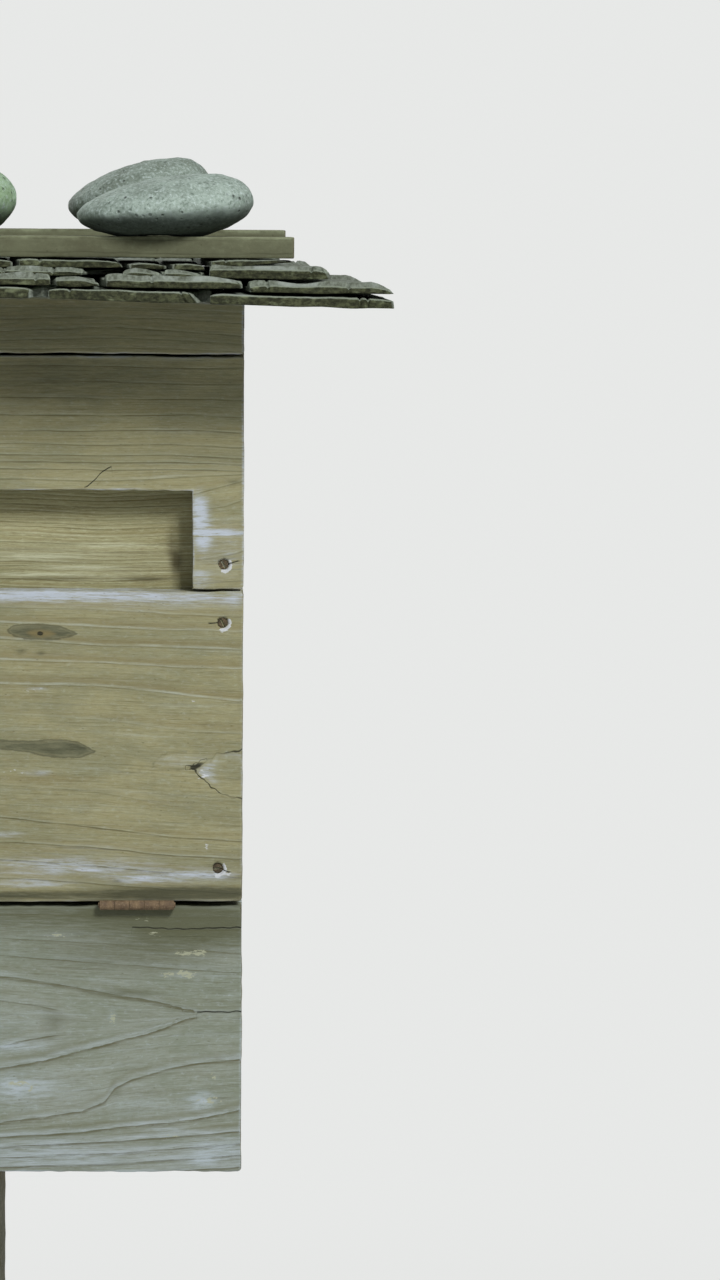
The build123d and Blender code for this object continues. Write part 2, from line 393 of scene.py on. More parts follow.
class Value:
    """An output of a node, whose sums and products are further nodes."""

    def __init__(self, graph, socket):
        self.graph, self.socket = graph, socket

    def __add__(self, other):
        return self.graph.math("ADD", self, other)

    def __sub__(self, other):
        return self.graph.math("SUBTRACT", self, other)

    def __mul__(self, other):
        return self.graph.math("MULTIPLY", self, other)

    def __truediv__(self, other):
        return self.graph.math("DIVIDE", self, other)


class Graph:
    """Writes nodes, whose inputs are numbers, colours or the values of other nodes."""

    def __init__(self, tree):
        self.tree = tree

    def join(self, socket, value):
        """Link a value to a socket, or set the socket to a number or colour."""
        if isinstance(value, Value):
            self.tree.links.new(value.socket, socket)
        else:
            socket.default_value = value

    def write(self, kind, output, inputs=None, **settings):
        """Add a node with its settings and inputs, and give one of its outputs."""
        node = self.tree.nodes.new(kind)
        for name, value in settings.items():
            setattr(node, name, value)
        for name, value in (inputs or {}).items():
            self.join(node.inputs[name], value)
        return Value(self, node.outputs[output])

    def math(self, operation, *values):
        return self.write("ShaderNodeMath", 0, dict(enumerate(values)), operation=operation)


class Shader(Graph):
    """Writes one material, whose colour is laid on in coats."""

    def __init__(self, name, roughness=0.85, specular=0.25, fibres=False):
        self.material = bpy.data.materials.new(name)
        self.material.use_nodes = True
        super().__init__(self.material.node_tree)
        self.surface = self.tree.nodes["Principled BSDF"]
        self.join(self.surface.inputs["Roughness"], roughness)
        self.join(self.surface.inputs["Specular IOR Level"], specular)
        # Textures follow the fibres of the mesh, or the part's own frame
        if fibres:
            self.place = self.write("ShaderNodeAttribute", "Vector", attribute_name="fibre")
        else:
            self.place = self.write("ShaderNodeTexCoord", "Object")

    def field(self, name):
        """A field stored on the points of the mesh."""
        return self.write("ShaderNodeAttribute", "Fac", attribute_name=name)

    def texture(self, kind, output, scale, **inputs):
        """A texture with one scale, or with one for each of the three directions."""
        place = self.place
        if isinstance(scale, tuple):
            place = self.write("ShaderNodeVectorMath", 0, {0: place, 1: scale}, operation="MULTIPLY")
            scale = 1.0
        return self.write(kind, output, {"Vector": place, "Scale": scale, **inputs})

    def noise(self, scale, detail, roughness=0.5, distortion=0.0):
        inputs = {"Detail": detail, "Roughness": roughness, "Distortion": distortion}
        return self.texture("ShaderNodeTexNoise", "Fac", scale, **inputs)

    def cells(self, scale):
        """Distance from the nearest of scattered points."""
        return self.texture("ShaderNodeTexVoronoi", "Distance", scale)

    def chance(self, cells):
        """A random number from 0 to 1 for each of the scattered points."""
        colour = Value(self, cells.socket.node.outputs["Color"])
        return self.write("ShaderNodeSeparateColor", 0, {0: colour})

    def step(self, value, low, high, low_result=0.0, high_result=1.0):
        """A smooth rise from the low result to the high one."""
        names = ("Value", "From Min", "From Max", "To Min", "To Max")
        inputs = dict(zip(names, (value, low, high, low_result, high_result)))
        return self.write("ShaderNodeMapRange", 0, inputs, interpolation_type="SMOOTHSTEP")

    def mix(self, share, first, second):
        """A mix of two colours, each a value or a colour as the photograph gives it."""
        first, second = (linear(*c) if isinstance(c, tuple) else c for c in (first, second))
        inputs = {"Factor": share, "A": first, "B": second}
        return self.write("ShaderNodeMix", "Result", inputs, data_type="RGBA")

    def coat(self, colour, share):
        """Lay a colour over the others, as far as the share says."""
        self.colour = self.mix(share, self.colour, colour)

    def tint(self, colour, value, low, high, amount=1.0):
        """Lay a colour on, from none where the value is low to the amount where it is high."""
        self.coat(colour, self.step(value, low, high, 0.0, amount))

    def finish(self, height, depth, strength=1.0):
        """Give the surface its colour and a relief from the height."""
        inputs = {"Height": height, "Distance": depth, "Strength": strength}
        self.join(self.surface.inputs["Normal"], self.write("ShaderNodeBump", "Normal", inputs))
        self.join(self.surface.inputs["Base Color"], self.colour)
        return self.material


def board_wood(
    name, base, second, line, pale, stain_and_shade, late, bleach_and_highlight_colour=None, scuffed=None, grain=0.45, halo=0.6,
    halo_reach=2.2, under=0.12,
):
    """Weathered board: growth lines, fibres, bleached and stained places that carry painted highlights and
    painted shade too, knots and cracks.
    """
    s = Shader(name, fibres=True)
    ring, bold, glow = s.field("ring"), s.field("bold"), s.field("glow")
    offset = (ring - s.math("ROUND", ring)) * s.field("pitch")
    broken = s.noise((30, 500, 0), 4.0, 0.65)
    strength = s.math("MINIMUM", bold, 1.0) * s.step(broken, 0.34, 0.6, 0.3, 1.0)
    # Soft patches of two tones, and fibres along the board in several widths
    s.colour = base
    s.tint(second, s.noise((11, 34, 11), 6.0, 0.7), 0.38, 0.62)
    wide = s.noise((9, 210, 30), 5.0, 0.65)
    s.tint(late, wide, 0.5, 0.76, grain)
    s.tint(pale, wide, 0.48, 0.25, grain * 0.7)
    streak = s.noise((18, 900, 60), 4.0, 0.7)
    s.tint(line, streak, 0.47, 0.78, grain * 1.3)
    s.tint(pale, streak, 0.46, 0.2, grain * 0.8)
    fine = s.noise((130, 3000, 300), 2.0, 0.6)
    s.tint(line, fine, 0.5, 0.85, grain)
    s.tint(pale, fine, 0.5, 0.2, grain * 0.7)
    mottle = s.noise((210, 460, 210), 4.0, 0.7)
    s.tint(late, mottle, 0.52, 0.72, grain * 0.8)
    s.tint(pale, mottle, 0.45, 0.3, grain * 0.5)
    # Brown late wood over each growth line, a pale band on it and a dark line at its foot
    above = s.step(offset, 8.0, halo_reach) * s.step(offset, 0.0, halo_reach)
    s.coat(late, above * glow * (0.8 * halo))
    below = s.step(offset, -5.0, 0.0) * s.step(offset, 0.25, 0.0)
    s.coat(line, below * strength * under)
    lifted = s.noise((34, 300, 0), 5.0, 0.7)
    light = s.step(offset, halo_reach, halo_reach * 0.3) * s.step(offset, -0.2, 0.3)
    s.coat(pale, light * glow * s.step(lifted, 0.36, 0.66, 0.15, 1.0) * halo)
    # A line bolder than 1 is wider too
    width = s.math("MAXIMUM", bold - 1.0, 0.0) * 2.5 + 1.0
    dark = s.step(offset / width, -1.3, -0.3) * s.step(offset, 0.3, -0.1) * strength
    s.coat(line, dark * 0.8)
    # Knots: a dull body with a dark rim, and a brown core
    ragged = (s.noise((110, 600, 300), 4.0, 0.7) - 0.5) * 3.2
    knot, core = s.field("knot") + ragged, s.field("core") + ragged
    cloud = s.step(s.noise((36, 260, 36), 5.0, 0.7), 0.3, 0.7)
    s.tint(s.mix(cloud, (70, 73, 56), (116, 116, 91)), knot, 1.6, -2.4, 0.9)
    s.coat((66, 66, 50), s.step(knot, 0.8, 0.2) * s.step(knot, -1.0, -0.2) * 0.5)
    s.tint((134, 120, 80), core, 1.2, -2.4, 0.7)
    # Bleached and stained places, which also carry painted highlights on arrises and edges and painted
    # shadows, with ragged edges along the fibres, and hard scuffs
    edge = (s.noise((60, 600, 60), 5.0, 0.7) - 0.5) * 2.4
    bleach_and_highlight, stain_and_shade_field = s.field("bleach_and_highlight"), s.field("stain_and_shade")
    s.tint(bleach_and_highlight_colour or pale, bleach_and_highlight + edge * (bleach_and_highlight * 1.7), 0.05, 1.0, 0.95)
    s.tint(stain_and_shade, stain_and_shade_field + edge * (stain_and_shade_field * 0.6), 0.05, 1.0, 0.9)
    flecks = s.noise((260, 700, 260), 3.0, 0.6)
    s.tint(scuffed or pale, s.field("scuff") + (flecks - 0.5) * 1.5, 0.4, 0.56, 0.85)
    # End grain: darker, with arcs across the end
    arcs = s.noise((60, 260, 420), 3.0, 0.6, 0.4)
    s.coat(s.mix(s.step(arcs, 0.35, 0.65), (92, 88, 68), (134, 130, 106)), s.field("end") * 0.8)
    # Cracks, and dark specks
    crack = s.math("ABSOLUTE", s.field("crack")) + ragged * 0.22
    split = s.step(crack, 0.7, 0.1) * s.field("split")
    s.coat((44, 44, 34), split * s.step(broken, 0.3, 0.5, 0.7, 0.97))
    s.tint(line, s.cells((90, 260, 90)), 0.1, 0.03, 0.5)
    return s.finish(dark * -0.6 + split * -2.0 + fine * 0.8 + (streak + mottle) * 0.9, 0.3 * MM, 0.7)


# The woods of the boards, under the names of their slots
woods = {
    "front_boards": board_wood(
        "front_board_wood", (156, 152, 115), (140, 139, 107), line=(92, 88, 60), pale=(180, 187, 176),
        stain_and_shade=(72, 73, 55), late=(126, 115, 78), bleach_and_highlight_colour=(188, 197, 208), scuffed=(206, 210, 214),
    ),
    "lower_boards": board_wood(
        "lower_board_wood", (146, 153, 140), (134, 142, 126), line=(92, 90, 64), pale=(184, 196, 202),
        stain_and_shade=(90, 92, 68), late=(116, 117, 92), bleach_and_highlight_colour=(178, 190, 196), scuffed=(170, 173, 148),
        halo=0.7, halo_reach=5.0, under=0.3,
    ),
    "recess_wood": board_wood(
        "recess_board_wood", (168, 164, 124), (154, 152, 114), line=(100, 92, 58),
        pale=(204, 206, 176), stain_and_shade=(84, 78, 54), late=(134, 124, 84), grain=0.85, halo_reach=1.6,
    ),
    "side_boards": board_wood(
        "side_board_wood", (152, 150, 122), (136, 139, 120), line=(84, 80, 58), pale=(184, 190, 186),
        stain_and_shade=(80, 82, 66), late=(122, 116, 88),
    ),
    "post_wood": board_wood(
        "post_wood", (134, 131, 106), (116, 118, 100), line=(66, 62, 46), pale=(170, 175, 166),
        stain_and_shade=(58, 60, 44), late=(100, 94, 72),
    ),
    "press_wood": board_wood(
        "press_board_wood", (108, 111, 87), (97, 99, 77), line=(74, 73, 54), pale=(136, 142, 114),
        stain_and_shade=(66, 66, 50), late=(88, 86, 65), grain=0.25, halo=0.2,
    ),
}


def inner_wood(name, dark, light):
    """Plain old wood for the inside of the box, with streaks along all boards."""
    s = Shader(name)
    streak = s.noise((14, 14, 420), 4.0, 0.6)
    s.colour = dark
    s.tint(light, streak, 0.3, 0.7)
    s.tint(dark, s.noise(22.0, 3.0), 0.5, 0.75, 0.5)
    return s.finish(streak, 0.4 * MM)


def shake_wood():
    """Split shakes: silver tops with bleached ridges, and dark mottled ends."""
    s = Shader("shake_wood", roughness=0.9, specular=0.2, fibres=True)
    streak, patch = s.noise((420, 9, 420), 4.0, 0.6), s.noise((38, 12, 38), 4.0, 0.6)
    s.colour = (84, 90, 76)
    s.tint((134, 142, 130), streak, 0.28, 0.72)
    s.tint((166, 175, 168), patch, 0.52, 0.72, 0.7)
    s.tint((70, 72, 54), patch, 0.4, 0.25, 0.55)
    top = s.colour
    mottle, pores = s.noise((260, 260, 420), 4.0, 0.7), s.cells((420, 420, 620))
    s.colour = (40, 42, 29)
    s.tint((80, 84, 60), mottle, 0.36, 0.7)
    s.tint((126, 134, 104), s.noise((90, 90, 160), 3.0, 0.6), 0.55, 0.72, 0.6)
    s.tint((34, 34, 24), pores, 0.22, 0.08, 0.6)
    s.colour = s.mix(s.field("end"), top, s.colour)
    s.coat((150, 160, 144), s.step(s.field("wear") + (mottle - 0.5) * 0.8, 0.35, 0.8) * 0.6)
    return s.finish(mottle + streak * 0.8 + s.step(pores, 0.0, 0.25, -0.3, 0.0), 0.7 * MM)


def river_stone(name, low_colour, high_colour, moss=0.0):
    """Smooth pitted cobble, with pale grains and dark pits, and painted shade underneath."""
    s = Shader(name, roughness=0.8, specular=0.3)
    cloud, grain = s.noise(55.0, 5.0, 0.62), s.noise(430.0, 4.0, 0.75)
    s.colour = low_colour
    s.tint(high_colour, cloud, 0.35, 0.68)
    s.tint((190, 206, 202), grain, 0.5, 0.68, 0.85)
    s.tint((78, 94, 84), grain, 0.48, 0.3, 0.75)
    if moss:
        s.tint((126, 152, 108), s.noise(38.0, 4.0, 0.6), 0.35, 0.65, moss)
    small, large = s.cells(240.0), s.cells(95.0)
    small_pits = s.step(small, 0.34, 0.1) * s.step(s.chance(small), 0.7, 1.0)
    large_pits = s.step(large + grain * 0.2, 0.3, 0.14) * s.step(s.chance(large), 0.8, 1.0)
    pits = s.math("MAXIMUM", small_pits, large_pits)
    s.coat((50, 58, 50), pits * 0.75)
    # Painted shade: darker towards the underside
    s.tint((40, 48, 40), s.field("under") + (grain - 0.5) * 0.8, 0.1, 0.9, 0.8)
    return s.finish(grain * 0.5 - pits * 1.4 + cloud * 1.5, 0.9 * MM)


def rusty_iron(name, dark, light):
    """Old iron under rust, worn brown on its ridges."""
    s = Shader(name, roughness=0.75, specular=0.4)
    cloud, grain = s.noise(160.0, 4.0, 0.65), s.noise(900.0, 3.0, 0.6)
    s.colour = dark
    s.tint(light, cloud, 0.3, 0.7)
    s.tint((168, 148, 118), grain, 0.5, 0.8, 0.6)
    s.tint((52, 38, 28), grain, 0.42, 0.2, 0.7)
    s.join(s.surface.inputs["Roughness"], s.step(cloud, 0.3, 0.7, 0.6, 0.9))
    return s.finish(cloud + grain, 0.25 * MM)


box_inside = inner_wood("inner_wood", (98, 91, 68), (142, 134, 104))
# The roof deck's wood is painted near black, as painted shade under the roof.
painted_shade_deck_wood = inner_wood("painted_shade_deck_wood", (34, 33, 25), (66, 64, 48))
shake_material = shake_wood()
pale_stone = river_stone("river_stone", (134, 148, 138), (160, 176, 166))
dark_stone = river_stone("dark_river_stone", (118, 130, 118), (146, 160, 150))
mossy_stone = river_stone("mossy_river_stone", (136, 160, 132), (158, 186, 154), moss=0.8)
hinge_iron = rusty_iron("hinge_iron", (80, 63, 46), (124, 105, 80))
screw_iron = rusty_iron("screw_iron", (30, 25, 18), (86, 75, 54))


# Growth lines of the front boards, from the bottom up: strength, strength of the pale
# band on it, photograph columns and the line's rows at them, and the columns between
# which it shows if that isn't the whole board. The left column is the left end of the
# box, which lies outside the photograph.
LEFT = -356
RIGHT = 244
FOUR = (LEFT, 0, 120, RIGHT)
FIVE = (LEFT, -120, 0, 120, RIGHT)
SIX = (LEFT, -120, 0, 96, 180, RIGHT)
ALL_ALONG = (-400, 260)
MIDDLE_LINES = (
    (0.7, 0.3, FIVE, (905, 897, 895, 897, 899)),
    (0.9, 0.35, SIX, (889, 878, 876, 881, 888, 892)),
    (1.0, 0.4, SIX, (868, 858, 858, 864, 872, 875)),
    (1.0, 0.4, SIX, (846, 839, 840, 846, 854, 857)),
    (1.0, 0.3, SIX, (812, 810, 814, 826, 835, 839)),
    (0.25, 0.2, SIX, (770, 776, 781, 790, 803, 812), (-300, 200)),
    (0.2, 0, SIX, (722, 735, 742, 752, 768, 775), (-400, 120)),
    (0.15, 0.35, SIX, (700, 706, 712, 718, 727, 731)),
    (0.4, 0.9, (LEFT, -120, 0, 96, 170, RIGHT), (676, 677, 681, 685, 693, 700)),
    (0.4, 0.9, SIX, (661, 657, 659, 662, 667, 669)),
    (0.45, 0.9, SIX, (645, 640, 639, 644, 648, 649.5)),
    (0.35, 0.8, SIX, (633, 626, 623, 626.5, 630, 631.5)),
    (0.4, 0.5, SIX, (617, 610, 607.5, 610, 614, 616)),
    (0.5, 0.8, SIX, (603, 598, 597, 599, 601, 603)),
)
FLAP_LINES = (
    (1.1, 0.8, FIVE, (1170, 1173, 1174, 1173, 1167)),
    (1.2, 0.9, FIVE, (1158, 1164, 1166, 1162, 1155)),
    (1.2, 0.9, FIVE, (1146, 1154, 1156.5, 1152, 1143)),
    (1.2, 0.9, (LEFT, -120, 0, 120, 180, RIGHT), (1133, 1143, 1147, 1141, 1135, 1131)),
    (1.2, 0.9, (LEFT, -120, 0, 80, 140, 200, RIGHT), (1118, 1131, 1137, 1133, 1125, 1118, 1109)),
    (
        1.3, 0.5, (LEFT, -120, 0, 48, 84, 108, 118, 134, 170, 200, RIGHT),
        (1096, 1114, 1123, 1117, 1111, 1100, 1086, 1078, 1068, 1062, 1057),
    ),
    (
        1.4, 0.6, (LEFT, -120, 0, 48, 80, 112, 144, 168, 188, 204, RIGHT),
        (1046, 1060, 1066.5, 1059, 1050, 1042, 1033, 1025, 1015, 1012, 1011.5), (-400, 205),
    ),
    (
        1.1, 0.4, (LEFT, -180, -90, 0, 32, 68, 140, 204, RIGHT),
        (1020, 1025, 1043, 1046, 1039, 1033, 1024, 1011.6, 1011.2), (-180, 66),
    ),
    (
        0.8, 0.3, (LEFT, -180, -90, 0, 32, 68, 140, 204, RIGHT),
        (1016, 1021, 1000, 998, 1003, 1011, 1016, 1011.2, 1010.9), (-180, 66),
    ),
    (
        1.7, 0.3, (LEFT, -120, 0, 48, 80, 112, 140, 168, 188, 204, RIGHT),
        (985, 972, 973, 980, 986, 993, 996, 1001, 1007, 1010.8, 1010.6),
    ),
    (0.6, 0.2, (LEFT, -120, 0, 128, 192, RIGHT), (958, 950, 953, 963, 966, 969)),
    (0.5, 0.1, (LEFT, -120, 0, 128, RIGHT), (941, 935, 936, 943, 951)),
    (1.1, 0.3, (LEFT, -120, 0, 128, 170, RIGHT), (925, 920, 921, 927, 927.5, 926.5), (136, 260)),
    (0.55, 0.3, (LEFT, -120, 0, 128, RIGHT), (912, 911, 912, 914, 915)),
)
NOTCHED_LINES = (
    (0.55, 0.25, (LEFT, 0, 200, RIGHT), (583, 583, 583, 581)),
    (0.6, 0.25, (LEFT, 0, 200, 225, RIGHT), (560, 560, 560, 556, 551)),
    (0.9, 0.25, (LEFT, 0, 193, 225, RIGHT), (536, 536, 535, 534, 534)),
    (0.6, 0.25, (LEFT, 0, 193, 225, RIGHT), (512, 512, 512, 507, 500)),
    (0.65, 0.25, (LEFT, 0, 193, 215, RIGHT), (494, 494, 496, 490, 482)),
    (0.7, 0.25, FOUR, (483, 481, 482, 476)),
    (0.9, 0.25, FOUR, (474, 471, 471, 474)),
    (0.9, 0.25, FOUR, (468, 464, 464, 467)),
    (0.8, 0.25, FOUR, (460, 457, 457, 461)),
    (0.7, 0.25, FOUR, (448, 446, 447, 450)),
    (0.8, 0.25, FOUR, (434, 433, 433, 435)),
    (0.8, 0.25, FOUR, (419, 417, 418, 420)),
    (0.7, 0.25, FOUR, (402, 401, 402, 403)),
    (0.6, 0.25, FOUR, (385, 386, 386, 388)),
    (0.7, 0.25, FOUR, (370, 371, 371, 372)),
)
RAIL_LINES = (
    (0.5, 0.3, FOUR, (354, 353, 352, 355)),
    (0.6, 0.3, FOUR, (343, 345, 342, 347)),
    (0.7, 0.3, FOUR, (334, 337, 331, 339)),
    (0.5, 0.3, FOUR, (322, 325, 321, 324)),
    (0.4, 0.3, FOUR, (312, 313, 312, 313)),
)


def photo_lines(lines):
    """Growth lines in millimetres, from photograph pixels."""
    found = []
    for bold, glow, columns, rows, *reach in lines:
        start, end = reach[0] if reach else ALL_ALONG
        points = pixel_line(*zip(columns, rows))
        found.append((bold, glow, photo_x(start), photo_x(end), points))
    return found


# Growth lines of a board that the photograph doesn't show: the places at which one
# bends, and how far the lines run on past the board along it and above and below it
BENDS = 6
PAST_END = 50
PAST_EDGE = 6


def made_lines(node, side, seed, spacing, sweep):
    """Growth lines for a board that the photograph doesn't show."""
    _, (start, end), (foot, top), _ = facing(side, node)
    random = np.random.default_rng(seed)
    stations = np.linspace(start, end, BENDS)
    wave = random.uniform(-sweep, sweep, BENDS)
    lines = []
    height = foot - PAST_EDGE
    while height < top + PAST_EDGE:
        share = (height - foot) / (top - foot)
        bend = wave * (0.35 + 0.65 * share) + random.uniform(-0.8, 0.8, BENDS)
        bold, glow = random.uniform(0.3, 1.0), random.uniform(0.1, 0.8)
        lines.append((bold, glow, start - PAST_END, end + PAST_END, list(zip(stations, height + bend))))
        height += spacing * random.uniform(0.45, 1.7)
    return lines


# Space outside the outermost growth lines, and the least between two of them
OUTER_PITCH = 9.0
LEAST_PITCH = 0.25


def growth(lines, u, v, seed):
    """Fields of the growth lines at points of a face."""
    v = v + 0.9 * noise(seed, u / 55, v / 30) + 0.35 * noise(seed + 1, u / 14, v / 9)
    heights = [np.interp(u, *zip(*points)) for *_, points in lines]
    heights = [heights[0] - OUTER_PITCH, *heights, heights[-1] + OUTER_PITCH]
    for k in range(1, len(heights)):
        heights[k] = np.maximum(heights[k], heights[k - 1] + LEAST_PITCH)
    ring = (np.minimum(v - heights[0], 0) + np.maximum(v - heights[-1], 0)) / OUTER_PITCH
    pitch = np.full(len(u), OUTER_PITCH)
    for low, high in zip(heights, heights[1:]):
        ring += np.clip((v - low) / (high - low), 0, 1)
        pitch = np.where((v >= low) & (v < high), high - low, pitch)
    bold, glow, nearest = np.zeros(len(u)), np.zeros(len(u)), np.full(len(u), np.inf)
    for (strength, pale_strength, start, end, _), height in zip(lines, heights[1:-1]):
        shown = smooth_step(start, start + 8, u) * smooth_fall(end - 8, end, u)
        away = np.abs(v - height)
        bold = np.where(away < nearest, strength * shown, bold)
        glow = np.where(away < nearest, pale_strength * shown, glow)
        nearest = np.minimum(nearest, away)
    return {"ring": ring, "pitch": pitch, "bold": bold, "glow": glow}


def spindle(u, v, stations):
    """Distance from the outline of a long knot, negative inside it."""
    places, middles, halves = zip(*stations)
    beyond = np.maximum(places[0] - u, u - places[-1])
    distance = np.abs(v - np.interp(u, places, middles)) - np.interp(u, places, halves)
    return np.where(beyond > 0, np.hypot(beyond, np.maximum(distance, 0)), distance)


def patches(u, v, spots):
    """Sum of soft patches, each (pixel column, pixel row, half width, half height, amount)."""
    total = np.zeros(len(u))
    for x, y, half_width, half_height, amount in spots:
        across, up = (u - photo_x(x)) / half_width, (v - photo_z(y)) / half_height
        total += amount * bell(np.hypot(across, up), PIXEL)
    return np.clip(total, 0, 1)


# Knots: stations along each one as (pixel column, pixel row of its middle, half height)
MIDDLE_KNOTS = (
    pixel_stations(
        (12, 631, 0.4), (18, 631, 5), (30, 632, 7), (47, 632.5, 7.4), (62, 633, 6.4), (72, 633.5, 3.4),
        (80, 634, 0.4),
    ),
    pixel_stations(
        (-60, 741, 0.4), (-30, 742, 2.6), (0, 743.5, 3.9), (32, 746, 5), (48, 747, 7.6), (66, 747.6, 8.8),
        (82, 749, 7.4), (90, 750, 4), (98, 751, 0.4),
    ),
    pixel_stations((-250, 690, 0.3), (-236, 690, 4), (-222, 690, 5), (-206, 690.5, 3.6), (-196, 691, 0.3)),
)
MIDDLE_CORE = pixel_stations((30, 633, 0.3), (36, 633.5, 3.4), (45, 634, 4.6), (54, 634, 3.2), (60, 634, 0.3))
# A claw of torn wood round a knot at the middle board's right end
CLAW_TOP = pixel_line((190, 767), (200, 763), (214, 758), (218, 751.5), (246, 748))
CLAW_FOOT = pixel_line((190, 767), (202, 776), (212, 785), (224, 793), (246, 799))
CLAW_SLIVER = pixel_stations(
    (155, 763.5, 0.3), (160, 761.5, 5), (170, 759.7, 7.4), (186, 759.5, 8), (200, 757.5, 6), (214, 753, 2.6),
    (219, 751, 0.3),
)
CLAW_TIP = pixel_stations((190, 767, 0.2), (195, 766.5, 1.8), (201, 764, 2.2), (205, 762, 0.2))

# Sunk screws: hole radius and depth, and the head in it with its slot, whose rings are
# each a radius and a depth under the board's face
HOLE_RADIUS = 3.9
HOLE_DEPTH = 2.6
HEAD_SIDES = 28
HEAD_RINGS = ((3.4, HOLE_DEPTH + 0.4), (3.4, HOLE_DEPTH - 0.35), (2.9, HOLE_DEPTH - 0.8))
SLOT_WIDTH = 1.5
SLOT_DEPTH = 1.6


def sink_screws(plate, screws):
    """Dent a plate's outer face at each screw, and give the worn rims of the holes."""
    rim = np.zeros(len(plate.u))
    for number, (u, v) in enumerate(screws):
        away = np.hypot(plate.u - u, plate.v - v)
        ragged = HOLE_RADIUS + 0.35 * noise(number + 40, plate.u / 1.7, plate.v / 1.7)
        hole = smooth_fall(ragged - 0.5, ragged + 0.35, away)
        plate.w = np.where(plate.layer == 0, plate.w + HOLE_DEPTH * hole, plate.w)
        # The rim is bleached on its right and under it
        toward = ((plate.u - u) - 0.8 * (plate.v - v)) / np.maximum(away, 0.1)
        rim = np.maximum(rim, bell(away - HOLE_RADIUS - 0.8, 1.3) * smooth_step(-0.3, 0.9, toward))
    return rim


def screw_mesh(name, place, screws, seed):
    """Round slotted heads at the bottom of their holes."""
    random = np.random.default_rng(seed)
    shape = bmesh.new()
    round_angles = np.arange(HEAD_SIDES) * 2 * math.pi / HEAD_SIDES
    top_radius, level = HEAD_RINGS[-1]
    slot_angle = math.asin(SLOT_WIDTH / 2 / top_radius)
    slot_angles = np.array([slot_angle, math.pi - slot_angle, math.pi + slot_angle, -slot_angle])
    # Corners of the top's edge on each side of the slot
    beside_slot = np.abs(np.sin(round_angles)) * top_radius > SLOT_WIDTH / 2
    for u, v in screws:
        turn = random.uniform(0, math.pi)

        def ring(radius, depth, angles):
            """Corners round the middle of the head."""
            along, up = np.cos(angles + turn), np.sin(angles + turn)
            points = place(u + radius * along, v + radius * up, np.full(len(angles), depth)) * MM
            return [shape.verts.new(point) for point in points]

        rows = [ring(radius, depth, round_angles) for radius, depth in HEAD_RINGS]
        for lower, upper in zip(rows, rows[1:]):
            for k in range(HEAD_SIDES):
                shape.faces.new((lower[k - 1], lower[k], upper[k], upper[k - 1]))
        a, b, c, d = ring(top_radius, level, slot_angles)
        floor = ring(top_radius, level + SLOT_DEPTH, slot_angles)
        half = HEAD_SIDES // 2
        shape.faces.new([a, *itertools.compress(rows[-1][:half], beside_slot[:half]), b])
        shape.faces.new([c, *itertools.compress(rows[-1][half:], beside_slot[half:]), d])
        shape.faces.new(floor)
        shape.faces.new([a, b, floor[1], floor[0]])
        shape.faces.new([c, d, floor[3], floor[2]])
    bmesh.ops.recalc_face_normals(shape, faces=shape.faces)
    mesh = bpy.data.meshes.new(name)
    shape.to_mesh(mesh)
    shape.free()
    return mesh


def cut(fields, distance, shown):
    """Add a crack along the line where the distance is nothing."""
    fields["crack"] = np.where(shown > 0, distance, fields["crack"])
    fields["split"] = np.maximum(fields["split"], shown)


def add_claw(plate, fields, seed):
    """Torn wood at the board's end: two cracks, a pale sliver and a dark tip."""
    u, v = plate.u, plate.v
    tip_u, tip_v = CLAW_TOP[0]
    before = tip_u - u
    inside = np.minimum(np.interp(u, *zip(*CLAW_TOP)) - v, v - np.interp(u, *zip(*CLAW_FOOT)))
    crack = np.where(before > 0, -np.hypot(before, v - tip_v) - 0.8, inside)
    crack += 1.3 * noise(seed + 9, u / 5, v / 5) + 0.6 * noise(seed + 10, u / 2.5, v / 2.5)
    patchy = np.clip(0.7 + 0.6 * noise(seed + 11, u / 7, v / 7), 0.1, 1)
    cut(fields, crack, patchy * smooth_fall(4, 8, np.abs(crack)))
    sliver, tip = spindle(u, v, CLAW_SLIVER), spindle(u, v, CLAW_TIP)
    torn = smooth_step(0, 3, inside) * smooth_step(-2, 0, -before) * bell(u - photo_x(208), 8)
    pale = np.maximum(0.22 * smooth_step(1.2, -2.5, sliver), 0.45 * torn)
    fields["bleach_and_highlight"] = np.maximum(fields["bleach_and_highlight"], pale)
    fields["stain_and_shade"] = np.maximum(fields["stain_and_shade"], 0.5 * bell(sliver - 0.3, 0.9) * (before > 0))
    cut(fields, np.maximum(tip, 0), (tip < 2).astype(float))


# Depths of a board's layers near its outer face, the first of those behind them and the
# space between these, and what stands for far away
OUTER_LAYERS = (0, 0.5, 1.1, 2.0, 3.5, 6.0)
INNER_LAYER = 9
LAYER_STEP = 3.5
FAR = 9.0


